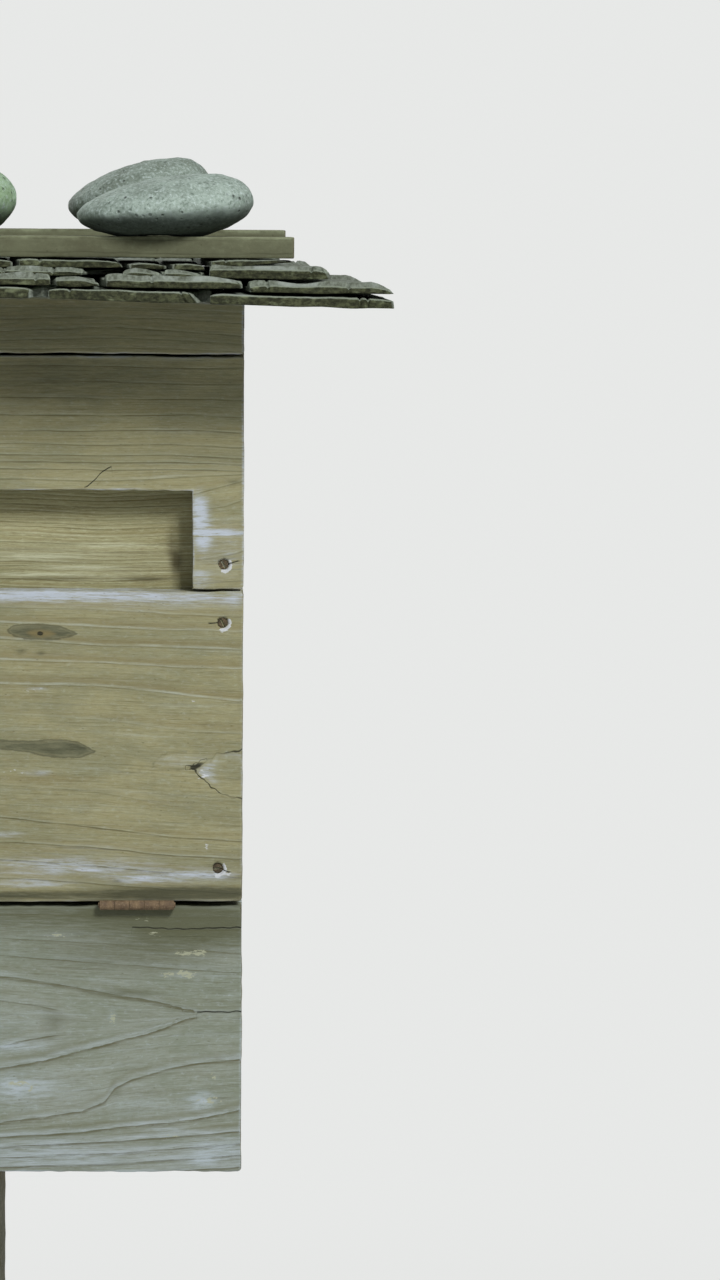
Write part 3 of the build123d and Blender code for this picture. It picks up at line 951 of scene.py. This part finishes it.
def worn_board(
    node, side, lines, slot, seed, step=4.0, wear=1.5, notch=(), screws=(), knots=(), cores=(),
    claw=False, bleach_and_highlight=(), stain_and_shade=(), scuff=(), worn=(), crown=None, arris_bleach_and_highlight=0.7,
    closed=False, pinholes=(), cuts=(),
):
    """A board of a wall: worn arrises, sunk screws, relief and the fields of its finish, with painted
    highlights and painted shade among them.
    """
    place, ends, heights, thickness = facing(side, node)
    fine_u, fine_v = zip(*screws, *pinholes) if (screws or pinholes) else ((), ())
    us = spread([ends[0], *notch[:2], ends[1]], step, sorted(set(fine_u)))
    vs = spread([heights[0], *notch[2:], heights[1]], step, sorted(set(fine_v)))
    inner = np.arange(INNER_LAYER, thickness - 2, LAYER_STEP)
    plate = Plate(us, vs, np.array([*OUTER_LAYERS, *inner, thickness - 1, thickness]), notch, closed)

    def rough(extra, across, up=None):
        """Noise over the board's face."""
        return noise(seed + extra, plate.u / across, plate.v / (up or across))

    at_end = (np.abs(plate.in_u) > 0.7) & (plate.layer > 0)
    edge_wave = 0.35 + 0.35 * noise(seed + 2, (plate.u + plate.v) / 23)
    edge_wave += 0.25 * noise(seed + 3, (plate.u - plate.v) / 7)
    plate.trim(np.clip(edge_wave, 0, 1.2))
    radius = wear * (1 + 0.45 * rough(4, 16) + 0.25 * rough(5, 5))
    for u, v, reach, extra in worn:
        radius = radius + extra * bell(np.hypot(plate.u - u, plate.v - v), reach)
    radius = np.clip(radius, 0.5, 4.0)
    plate.wear_arris(radius)
    plate.wear_arris(radius if closed else 0.6, from_back=True)
    fields = growth(lines, plate.u, plate.v, seed)
    relief = (0.3 + 0.3 * rough(6, 70, 26)) * smooth_step(0, 3, plate.edge)
    plate.w = np.where(plate.layer == 0, plate.w + relief, plate.w)
    rim = sink_screws(plate, screws)
    if crown:
        share = (plate.v - heights[0]) / (heights[1] - heights[0])
        plate.v = heights[0] + share * (crown(plate.u) - heights[0])
    # Worn arrises are paler, and the same field paints a highlight along them
    arris = arris_bleach_and_highlight * bell(plate.edge, 1.8) * bell(plate.w, 2.5) * (0.6 + 0.4 * rough(7, 30))
    far = np.full(len(plate.u), FAR)
    fields |= {
        "fibre": np.stack([plate.u, fields["ring"] * 6 + plate.v * 0.5, plate.w], 1) * MM,
        "ring": fields["ring"] + plate.w / 9,
        "end": at_end.astype(float),
        "crack": far,
        "split": far * 0,
        "knot": np.minimum.reduce([far, *(spindle(plate.u, plate.v, knot) for knot in knots)]),
        "core": np.minimum.reduce([far, *(spindle(plate.u, plate.v, core) for core in cores)]),
        "scuff": np.maximum(patches(plate.u, plate.v, scuff), rim),
        "bleach_and_highlight": np.clip(np.maximum(arris, patches(plate.u, plate.v, bleach_and_highlight)), 0, 1),
        "stain_and_shade": patches(plate.u, plate.v, stain_and_shade),
    }
    for u, v in pinholes:
        away = np.hypot((plate.u - u) / 1.4, plate.v - v)
        cut(fields, np.maximum(away - 1.1, 0), smooth_fall(2, 4, away))
    for points in cuts:
        distance = plate.v - np.interp(plate.u, *zip(*points)) - 0.5 * noise(seed + 8, plate.u / 5)
        start, end = points[0][0], points[-1][0]
        along = smooth_step(start - 2, start, plate.u) * smooth_fall(end, end + 2, plate.u)
        cut(fields, distance, along * smooth_fall(step + 1, 2 * step + 2, np.abs(distance)))
    if claw:
        add_claw(plate, fields, seed)
    mesh = plate.mesh(f"{node}_wood", place, fields)
    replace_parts(link(mesh, (woods[slot], box_inside), node, slot), node)
    if screws:
        link(screw_mesh(f"{node}_screws", place, screws, seed), (screw_iron,), node, "rusty_iron")


def crown_of(node):
    """The height of a node's top at places across the box, as a function."""
    points = np.array([vertex.co for vertex in frame["nodes"][node].data.vertices]) / MM
    points = points[points[:, 2] > points[:, 2].mean()]
    places = sorted(set(np.round(points[:, 0], 1)))
    tops = [points[np.abs(points[:, 0] - place) < 2, 2].max() for place in places]
    return lambda u: np.interp(u, places, tops)


# Front boards
RECESS_HEIGHT = 66
_, flap_high = node_box("front_flap")
notched_low, _ = node_box("front_notched_board")
middle_low, middle_high = node_box("front_middle_board")
box_half = flap_high[0]
recess_half = photo_x(193)
recess_top = notched_low[2] + RECESS_HEIGHT


def front_screws(*pixels):
    """Screws at the photograph's pixels, and at the same places on the left."""
    return [(side * photo_x(x), photo_z(y)) for x, y in pixels for side in (1, -1)]


worn_board(
    "front_flap", "front", photo_lines(FLAP_LINES), "lower_boards", seed=100, step=2.0, wear=1.6,
    bleach_and_highlight=(
        (60, 1155, 130, 16, 0.5), (225, 1150, 40, 16, 0.5), (20, 1088, 70, 24, 0.4),
        (30, 1022, 60, 20, 0.25), (-200, 1130, 160, 30, 0.4), (-220, 1020, 120, 18, 0.3),
        (150, 1105, 60, 20, 0.25), (205, 1100, 14, 10, 0.6), (20, 1085, 22, 7, 0.5), (115, 1015, 5, 9, 0.35),
        (185, 972, 22, 4, 0.4), (60, 933, 24, 2.5, 0.45), (20, 1045, 40, 6, 0.5), (205, 1160, 14, 5, 0.5),
        (170, 1130, 26, 5, 0.4),
    ),
    # The dark spot at column 134, row 911 is painted shadow under the hinge.
    stain_and_shade=(
        (200, 925, 90, 26, 0.75), (-40, 912, 320, 20, 0.72), (134, 911, 40, 6, 0.75),
        (60, 942, 220, 20, 0.08), (56, 1022, 14, 20, 0.35), (70, 1018, 24, 8, 0.25),
        (120, 960, 110, 26, 0.4), (130, 992, 40, 5, 0.5), (185, 1008, 20, 5, 0.4), (118, 1090, 8, 12, 0.4),
    ),
    scuff=(
        (62, 933, 20, 2.4, 0.6), (155, 932, 11, 2.4, 0.6), (186, 952, 10, 3, 0.7), (202, 951, 7, 4, 0.7),
        (170, 973, 9, 3, 0.7), (183, 971, 6, 3, 0.6), (193, 974, 7, 4, 0.7), (116, 1017, 3.5, 9, 0.6),
        (212, 1100, 13, 6, 0.6), (22, 1082, 15, 5, 0.6), (36, 1089, 5, 4, 0.6), (125, 980, 3, 3, 0.6),
        (216, 1075, 4, 8, 0.5), (145, 918, 12, 2, 0.5), (170, 1135, 22, 2.5, 0.5),
    ),
    cuts=(
        pixel_line((200, 1010.5), (225, 1011), (246, 1010)),
        pixel_line((136, 925), (170, 927.5), (205, 927), (246, 926)),
    ),
    worn=((box_half, flap_high[2], 7, 2.2),),
)
worn_board(
    "front_middle_board", "front", photo_lines(MIDDLE_LINES), "front_boards", seed=200, step=2.0, wear=1.5,
    screws=front_screws((223.3, 623), (219.5, 867)),
    knots=MIDDLE_KNOTS, cores=(MIDDLE_CORE,), claw=True, arris_bleach_and_highlight=0.45,
    # The long pale bands at rows 596 and 598 are painted highlight along the board's top edge under the
    # opening.
    bleach_and_highlight=(
        (60, 596, 160, 6, 0.85), (200, 600, 40, 5, 0.3), (150, 608, 110, 7, 0.2), (110, 862, 170, 18, 0.13),
        (-200, 598, 200, 6, 0.6), (40, 772, 16, 3, 0.5), (42, 689, 14, 3, 0.35), (60, 862, 80, 7, 0.35),
        (180, 875, 70, 8, 0.4), (236, 755, 16, 4, 0.4), (36, 882, 36, 4, 0.6), (140, 878, 22, 3, 0.45),
        (205, 873, 26, 3, 0.35), (30, 872, 60, 4, 0.22), (90, 846, 60, 4, 0.15), (10, 833, 20, 3, 0.5),
        (236, 600, 10, 12, 0.25), (90, 868, 30, 2.5, 0.4),
    ),
    stain_and_shade=(
        (140, 893, 120, 7, 0.8), (205, 891, 60, 6, 1.0), (-60, 896, 120, 4, 0.5), (10, 893, 60, 3, 0.5),
        (25, 652, 6, 1.6, 0.8), (45, 653, 5, 1.4, 0.7), (150, 618, 60, 4, 0.3), (60, 650, 60, 6, 0.2),
        (196, 765.5, 6, 2.6, 1.0), (60, 705, 70, 10, 0.18), (120, 880, 6, 2, 0.5),
    ),
    scuff=(
        (226, 872, 10, 4, 0.5), (208, 846, 5, 6, 0.45), (205, 774, 6, 7, 0.5), (190, 700, 20, 3, 0.35),
        (20, 770, 18, 3, 0.4), (40, 690, 16, 3, 0.4),
    ),
    pinholes=((photo_x(44), photo_z(634)),),
    cuts=(pixel_line((211, 623.5), (218, 623)), pixel_line((222, 868), (230, 871))),
    worn=((box_half, middle_low[2], 7, 2.4), (box_half, middle_high[2], 5, 1.0)),
)
worn_board(
    "front_notched_board", "front", photo_lines(NOTCHED_LINES), "front_boards", seed=300, step=2.0, wear=1.2,
    notch=(-recess_half, recess_half, recess_top),
    screws=front_screws((224, 565.5)),
    # The pale spots in column 200 are painted highlight beside the opening's right edge.
    bleach_and_highlight=(
        (200, 512, 9, 18, 0.85), (203, 538, 9, 16, 0.75), (222, 534, 26, 2.6, 0.8), (228, 552, 22, 34, 0.28),
        (200, 580, 12, 12, 0.5),
    ),
    # The wide dark patch over the upper board is painted shadow of the eaves.
    stain_and_shade=((-60, 380, 400, 34, 0.6), (234, 484, 10, 3, 0.5)),
    cuts=(pixel_line((89, 490), (99, 481), (103, 476), (113, 470)), pixel_line((227, 565.5), (238, 562.5))),
)
worn_board(
    "front_top_rail", "front", photo_lines(RAIL_LINES), "front_boards", seed=400, step=3.0, wear=1.2,
    # The wide dark patch is painted shadow of the eaves.
    stain_and_shade=((-60, 330, 500, 40, 0.5),), crown=crown_of("front_top_rail"),
)


# Walls that the photograph doesn't show: the same boards, and the same screws in the
# back, with lines of growth that lie wider apart on each board up
SCREW_FROM_END = 13
SCREW_FROM_FOOT = 22
SCREW_FROM_TOP = 52.8
WALL_LINE_SPACINGS = {"lower": 11, "middle": 14, "upper": 17}
for side, first_seed in (("left", 500), ("right", 600), ("back", 700)):
    for number, (level, spacing) in enumerate(WALL_LINE_SPACINGS.items()):
        node = f"{side}_{level}_board"
        _, (start, end), (foot, top), _ = facing(side, node)
        columns = (start + SCREW_FROM_END, end - SCREW_FROM_END)
        rows = (foot + SCREW_FROM_FOOT, top - SCREW_FROM_TOP)
        slot, sweep = ("lower_boards", 16) if level == "lower" else ("side_boards", 9)
        seed = first_seed + 20 * number
        worn_board(
            node, side, made_lines(node, side, seed, spacing, sweep), slot, seed, wear=1.2,
            screws=list(itertools.product(columns, rows)) if side == "back" else (),
            crown=crown_of(node) if node == "back_upper_board" else None,
        )


# Board behind the recess, boards across the shakes, and the post
worn_board(
    "recess_board", "front", made_lines("recess_board", "front", 800, 4.2, 2), "recess_wood",
    seed=800, step=2.5, wear=0.6, arris_bleach_and_highlight=0,
    bleach_and_highlight=(
        (60, 556, 110, 16, 0.3), (110, 580, 60, 6, 0.3), (30, 578, 60, 1.6, 0.75), (84, 572, 44, 1.6, 0.65),
        (124, 549, 34, 2.4, 0.45), (36, 561, 40, 1.8, 0.5), (-160, 570, 80, 2, 0.6), (-60, 552, 60, 2, 0.4),
    ),
    # The dark spots along row 505 are painted shadow of the opening's top, and those in columns 172, 178 and
    # -286 are painted shade beside the ends of the opening.
    stain_and_shade=(
        (178, 566, 6, 12, 0.9), (-286, 560, 8, 20, 0.8), (150, 505, 70, 7, 0.4), (-120, 507, 60, 6, 0.4),
        (172, 545, 6, 20, 0.55), (62, 583.5, 60, 1.8, 0.9), (150, 583, 26, 2.4, 0.9),
        (120, 576, 40, 1.4, 0.5), (100, 566, 60, 1.6, 0.5), (30, 553, 40, 1.6, 0.4),
        (140, 557, 34, 1.8, 0.45), (-180, 560, 90, 1.6, 0.5), (-80, 578, 70, 1.8, 0.5),
    ),
)
for row, seed in (("front", 820), ("back", 840)):
    node = f"{row}_press_board"
    worn_board(
        node, "top", made_lines(node, "top", seed, 6, 1.5), "press_wood", seed, wear=0.9,
        arris_bleach_and_highlight=0.95, closed=True,
    )
worn_board(
    "post", "upright", made_lines("post", "upright", 860, 6, 4), "post_wood", seed=860, step=6.0,
    wear=3.6, arris_bleach_and_highlight=0.4, closed=True,
    cuts=(
        ((40, 6), (180, 4), (420, 7), (600, 5), (640, 5)),
        ((480, -14), (620, -15), (830, -13), (900, -13)),
    ),
)


def node_shape(node):
    """A copy of a node's mesh in mesh code, with its split corners joined."""
    shape = bmesh.new()
    shape.from_mesh(frame["nodes"][node].data)
    bmesh.ops.remove_doubles(shape, verts=shape.verts, dist=0.01 * MM)
    return shape


# Split shakes: a course's node holds several, and each gets its own worn shape. Their
# lattices are fine near the ends and the outer faces, and coarse between them.
SHAKE_END_STEPS = np.array([0, 0.4, 0.9, 1.6, 2.6, 4.2, 6.5, 9, 12, 15.5, 19, 23, 27, 32, 38])
SHAKE_SKIN = np.array([0, 0.5, 1.1, 1.9])
SHAKE_STEP = 12
SPLIT_SPACING = 45
SPLIT_INSET = 8
SPLIT_REACH = (15, 70)
# Distances from its ends between which a shake goes under the next course, and is spared
COVER_REACH = (25, 70)
SPARED = 0.9
# Course and place in from the side: how far the top of the outer side leans in, and
# what is worn off the top and off the bottom towards the outer side, over a reach
SHAKE_SHAPES = {
    (1, 0): (0.5, 0.2, 0, 20),
    (1, 1): (5.3, 0.3, 0, 40),
    (2, 0): (2.5, 1.6, 0, 14),
    (2, 1): (0.5, 0.4, 0, 30),
    (2, 2): (1.0, 1.4, 0.6, 12),
    (3, 0): (2.0, 1.2, 0, 8),
    (4, 0): (3.5, 0.4, 3.0, 40),
}
# Some shakes are wider behind their ends, and the courses bend between theirs
SHAKE_FLARES = {(1, 2): 5, (3, 3): 18}
SHAKE_BENDS = {1: 15, 2: -12, 3: 14, 4: -14}
# Reach from the end of the hump on courses whose tops lie open to the rain
OPEN_REACH = {2: 26, 3: 16}
HUMP = 2.6
# The corners of the roof behind the box have sagged
SAG = 1.8
SAG_START = 200
roof_half = cad_high[0] / MM


def shake_sections(node):
    """Sides, ends, slope, and heights of top and bottom, of each shake from the left."""
    shape = node_shape(node)
    waiting = set(shape.verts)
    sections = []
    while waiting:
        island, growing = [], [waiting.pop()]
        while growing:
            corner = growing.pop()
            island.append(tuple(corner.co / MM))
            beyond = {edge.other_vert(corner) for edge in corner.link_edges} & waiting
            waiting -= beyond
            growing += beyond
        points = np.array(sorted(island))
        low, high = points.min(0), points.max(0)
        ring = points[points[:, 1] < low[1] + 0.5]
        from_middle = ring - ring.mean(0)
        ring = ring[np.argsort(np.arctan2(from_middle[:, 2], from_middle[:, 0]))]
        runs = np.roll(ring, -1, 0) - ring
        longest = np.argsort(np.hypot(runs[:, 0], runs[:, 2]))[-2:]
        slope = float(np.mean(runs[longest, 2] / runs[longest, 0]))
        bottom, top = sorted(ring[longest, 2] - slope * ring[longest, 0])
        sections.append((low[0], high[0], low[1], high[1], slope, top, bottom))
    shape.free()
    return sorted(sections)


def shake_part(course, place, outward, section, seed):
    """Points, faces and fields of one shake, whose outer side is left, right or neither."""
    start, end, front, back, slope, top, bottom = section
    thickness, length = top - bottom, back - front
    random = np.random.default_rng(seed)
    splits = random.uniform(start + SPLIT_INSET, end - SPLIT_INSET, int((end - start) // SPLIT_SPACING))
    us = spread([start, end], 5.0, sorted(splits), fine_reach=3.2)
    middle = np.linspace(SHAKE_END_STEPS[-1], length - SHAKE_END_STEPS[-1], math.ceil(length / SHAKE_STEP))
    vs = front + np.unique(np.concatenate([SHAKE_END_STEPS, middle, length - SHAKE_END_STEPS]))
    plate = Plate(us, vs, np.concatenate([SHAKE_SKIN, thickness - SHAKE_SKIN[::-1]]))
    from_end = np.minimum(plate.v - front, back - plate.v)
    across_end = np.abs(plate.in_v) > 0.7
    end_field = across_end * smooth_fall(0.3, 2.4, plate.edge) * np.where(plate.layer > 0, 1.0, 0.4)
    arris = bell(plate.edge, 1.6) * bell(plate.w, 1.3)
    split = np.zeros(len(plate.u))
    for middle_u in splits:
        run = plate.u - middle_u - 0.5 * noise(seed + 9, plate.v / 25)
        split = np.maximum(split, bell(run, 0.8) * smooth_fall(*SPLIT_REACH, from_end))
    covered = SPARED * smooth_step(*COVER_REACH, from_end)
    # Rough split ends and wavy sides
    end_inset = 1.7 + 1.7 * noise(seed + 1, plate.u / 22, plate.w / 30)
    end_inset += 0.8 * noise(seed + 2, plate.u / 5, plate.w / 2.5) + 2.2 * split
    side_inset = 0.8 + 0.7 * noise(seed + 3, plate.v / 45) + 0.2 * noise(seed + 4, plate.v / 9, plate.w / 3)
    if place > 0:
        side_inset *= 1 - covered
    plate.trim(np.clip(np.where(across_end, end_inset, side_inset), 0.05, 6), 14)
    radius = 1.5 + 0.7 * noise(seed + 5, plate.u / 9, plate.v / 9)
    plate.wear_arris(np.clip(radius, 0.5, thickness * 0.45))
    plate.wear_arris(np.clip(radius * 0.6, 0.4, thickness * 0.3), from_back=True)
    # What is worn off the top and bottom, and the hump where the top is open to rain
    plain_shape = (random.uniform(-0.5, 2), 0.5, 0.2, 20)
    lean, top_worn, bottom_worn, reach = SHAKE_SHAPES.get((course, place), plain_shape)
    to_end, to_start = end - plate.u, plate.u - start
    from_side = {1: to_end, -1: to_start, 0: np.full(len(plate.u), 1e3)}[outward]
    near_side = smooth_fall(0, reach, from_side)
    open_air = 1 - covered
    if place == 0:
        open_air = np.maximum(open_air, bell(from_side, 30))
    ripple = 0.8 + 0.55 * noise(seed + 6, plate.u / 17, plate.v / 60)
    ripple += 0.25 * noise(seed + 7, plate.u / 5, plate.v / 40)
    nearest_side = np.minimum(to_end, to_start)
    rounded = random.uniform(0.4, 1.4) * smooth_fall(0, random.uniform(5, 11), nearest_side)
    drop = (ripple + top_worn * near_side + rounded + 1.5 * split) * open_air
    rise = 0.5 + 0.5 * noise(seed + 8, plate.u / 18, plate.v / 50) + bottom_worn * near_side + 0.3 * rounded
    hump = 0
    if course in OPEN_REACH:
        hump_end = OPEN_REACH[course]
        hump = smooth_step(1.5, 9, from_end) * smooth_fall(hump_end - 6, hump_end, from_end)
        drop = drop - HUMP * hump * (1 - 0.6 * near_side) * (1 + 0.4 * noise(seed + 10, plate.u / 20))
    share = plate.w / thickness
    plate.w = drop * (1 - share) + share * (thickness - rise * open_air)
    plate.u = plate.u - outward * lean * open_air * (1 - share) * smooth_fall(0, 25, from_side)
    flare = SHAKE_FLARES.get((course, place), 0) * smooth_step(35, 75, from_end)
    flare = flare * smooth_fall(0, 45, nearest_side)
    plate.u = plate.u + flare * np.sign(plate.u - (start + end) / 2)
    bend = np.sin(math.pi * (plate.v - front) / length) * (1 - np.abs(plate.u / roof_half) ** 3)
    plate.u = plate.u + SHAKE_BENDS[course] * bend
    sag = SAG * smooth_step(-140, 200, plate.v) * smooth_step(SAG_START, roof_half, np.abs(plate.u))
    points = np.stack([plate.u, plate.v, slope * plate.u + top - plate.w - sag], 1)
    fields = {
        "fibre": np.stack([plate.u, plate.v, plate.w], 1) * MM + random.uniform(-1, 1, 3),
        "end": end_field,
        "wear": np.clip(arris + 0.5 * hump, 0, 1) * np.ones(len(plate.u)),
    }
    return points, plate.quads.tolist(), fields


for course in SHAKE_BENDS:
    node = f"shake_course_{course}"
    sections = shake_sections(node)
    parts = []
    for number, section in enumerate(sections):
        last = len(sections) - 1
        outward = int(np.sign(number - last / 2))
        seed = 1000 * course + 20 * number
        parts.append(shake_part(course, min(number, last - number), outward, section, seed))
    mesh = build_mesh(f"{node}_shakes", parts)
    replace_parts(link(mesh, (shake_material,), node, "shake_wood"), node)


# Cobbles: the node's shape made even and smooth, with a rough and pitted skin
COBBLE_VOXEL = 2.9 * MM
COBBLE_PITS = 16
COBBLE_MODIFIERS = {
    "REMESH": {"mode": "VOXEL", "voxel_size": COBBLE_VOXEL},
    "SMOOTH": {"factor": 0.5, "iterations": 8},
    "SUBSURF": {"levels": 1, "render_levels": 1},
}


def cobble(node, material, seed):
    """A river stone in the place of a node."""
    shape = node_shape(node)
    mesh = bpy.data.meshes.new(f"{node}_cobble")
    shape.to_mesh(mesh)
    shape.free()
    piece = link(mesh, (material,), node, "river_stone")
    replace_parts(piece, node)
    for kind, settings in COBBLE_MODIFIERS.items():
        modifier = piece.modifiers.new(kind, kind)
        for name, value in settings.items():
            setattr(modifier, name, value)
    even = bpy.data.meshes.new_from_object(piece.evaluated_get(bpy.context.evaluated_depsgraph_get()))
    piece.modifiers.clear()
    piece.data = even
    points, normals = np.empty((2, len(even.vertices) * 3), np.float32)
    even.vertices.foreach_get("co", points)
    even.vertices.foreach_get("normal", normals)
    points = points.reshape(-1, 3).astype(float) / MM
    normals = normals.reshape(-1, 3).astype(float)
    x, y, z = points.T
    skin = 1.1 * noise(seed, x / 24, y / 24, z / 18) + 0.5 * noise(seed + 1, x / 8, y / 8, z / 8)
    skin += 0.22 * noise(seed + 2, x / 3, y / 3, z / 3) - 0.2
    random = np.random.default_rng(seed)
    low, high = node_box(node)
    around = points - (low + high) / 2
    for direction in random.normal(size=(COBBLE_PITS, 3)):
        direction[2] = abs(direction[2]) * 0.8
        toward = (around @ direction) / np.linalg.norm(around, axis=1)
        away = np.linalg.norm(points - points[np.argmax(toward)], axis=1)
        skin -= random.uniform(0.7, 1.5) * bell(away, random.uniform(1.3, 2.4))
    points = np.clip(points + normals * skin[:, None], low, high)
    even.vertices.foreach_set("co", (points * MM).astype(np.float32).ravel())
    # A field of how far each point faces down, for the painted shade underneath
    under = even.attributes.new("under", "FLOAT", "POINT")
    under.data.foreach_set("value", smooth_step(-0.1, 0.95, -normals[:, 2]).astype(np.float32))
    even.polygons.foreach_set("use_smooth", np.ones(len(even.polygons), bool))
    even.update()


STONES = {
    "front_right": pale_stone,
    "front_left": pale_stone,
    "front_middle": mossy_stone,
    "back_right": dark_stone,
    "back_left": dark_stone,
    "back_middle": dark_stone,
}
for number, (place, material) in enumerate(STONES.items()):
    cobble(f"{place}_stone", material, 900 + 10 * number)

# Nodes that keep their own shape
kept_materials = {"roof_deck": painted_shade_deck_wood}
kept_materials |= {node: box_inside for node in ("floor_board", "front_bearer", "back_bearer")}
for side, part in itertools.product(("left", "right"), ("fixed_leaf", "flap_leaf", "pin")):
    kept_materials[f"{side}_hinge_{part}"] = hinge_iron
for node, material in kept_materials.items():
    for material_slot in frame["nodes"][node].material_slots:
        material_slot.material = material


# Camera
camera_data = bpy.data.cameras.new("camera")
camera_data.sensor_width = SENSOR
camera_data.lens = SENSOR * FOCAL_PIXELS / IMAGE_HEIGHT
camera_data.clip_start, camera_data.clip_end = 0.1, 200
camera = bpy.data.objects.new("camera", camera_data)
bpy.context.scene.collection.objects.link(camera)
level_ahead = Vector((math.sin(CAMERA_YAW), math.cos(CAMERA_YAW), 0))
ahead = math.cos(CAMERA_PITCH) * level_ahead + math.sin(CAMERA_PITCH) * Vector((0, 0, 1))
level_right = Vector((math.cos(CAMERA_YAW), -math.sin(CAMERA_YAW), 0))
level_up = level_right.cross(ahead)
right = math.cos(CAMERA_ROLL) * level_right + math.sin(CAMERA_ROLL) * level_up
up = math.cos(CAMERA_ROLL) * level_up - math.sin(CAMERA_ROLL) * level_right
turn = Matrix((right, up, -ahead)).transposed().to_4x4()
camera.matrix_world = Matrix.Translation(Vector(CAMERA_PLACE) * MM) @ turn
bpy.context.scene.camera = camera

# Floor: a wide pale disc that fades into the backdrop's colour between these distances
FLOOR_RADIUS = 60
FADE_START = 0.3
FADE_END = 4.0
floor_mesh = bpy.data.meshes.new("floor")
floor_shape = bmesh.new()
bmesh.ops.create_circle(floor_shape, cap_ends=True, radius=FLOOR_RADIUS, segments=96)
floor_shape.to_mesh(floor_mesh)
floor_shape.free()
floor = bpy.data.objects.new("floor", floor_mesh)
bpy.context.scene.collection.objects.link(floor)
s = Shader("floor", roughness=0.9, specular=0.1)
s.join(s.surface.inputs["Base Color"], BACKDROP)
distance = s.write("ShaderNodeVectorMath", "Value", {0: s.place}, operation="LENGTH")
share = s.step(distance, FADE_START, FADE_END, 0.5, 1.0) * s.write("ShaderNodeLightPath", "Is Camera Ray")
glow = s.write("ShaderNodeEmission", 0, {"Color": BACKDROP})
blend = s.write("ShaderNodeMixShader", 0, {0: share, 1: Value(s, s.surface.outputs[0]), 2: glow})
s.join(s.tree.nodes["Material Output"].inputs["Surface"], blend)
floor_mesh.materials.append(s.material)

# World: soft light from all round, seen as the backdrop's colour
world = bpy.data.worlds.new("studio")
bpy.context.scene.world = world
world.use_nodes = True
sky = Graph(world.node_tree)
light = sky.tree.nodes["Background"]
sky.join(light.inputs["Color"], (1, 1, 1, 1))
sky.join(light.inputs["Strength"], WORLD_LIGHT)
seen_light = sky.write("ShaderNodeBackground", 0, {"Color": BACKDROP})
rays = [sky.write("ShaderNodeLightPath", f"Is {kind} Ray") for kind in ("Camera", "Glossy")]
blend = {0: sky.math("MAXIMUM", *rays), 1: Value(sky, light.outputs[0]), 2: seen_light}
sky.join(sky.tree.nodes["World Output"].inputs["Surface"], sky.write("ShaderNodeMixShader", 0, blend))


def area_light(name, place, target, size, power):
    data = bpy.data.lights.new(name, "AREA")
    data.size = size
    data.energy = power
    lamp = bpy.data.objects.new(name, data)
    bpy.context.scene.collection.objects.link(lamp)
    lamp.location = place
    lamp.rotation_euler = (target - place).to_track_quat("-Z", "Y").to_euler()


box_middle = Vector(((cad_low[0] + cad_high[0]) / 2, 0, 1.25))
area_light("key", box_middle + KEY_DIRECTION * KEY_DISTANCE, box_middle, KEY_SIZE, KEY_POWER)
area_light("fill", FILL_PLACE, box_middle, FILL_SIZE, FILL_POWER)
area_light("back", BACK_PLACE, box_middle, FILL_SIZE, BACK_POWER)

bpy.context.scene.view_settings.view_transform = "Standard"
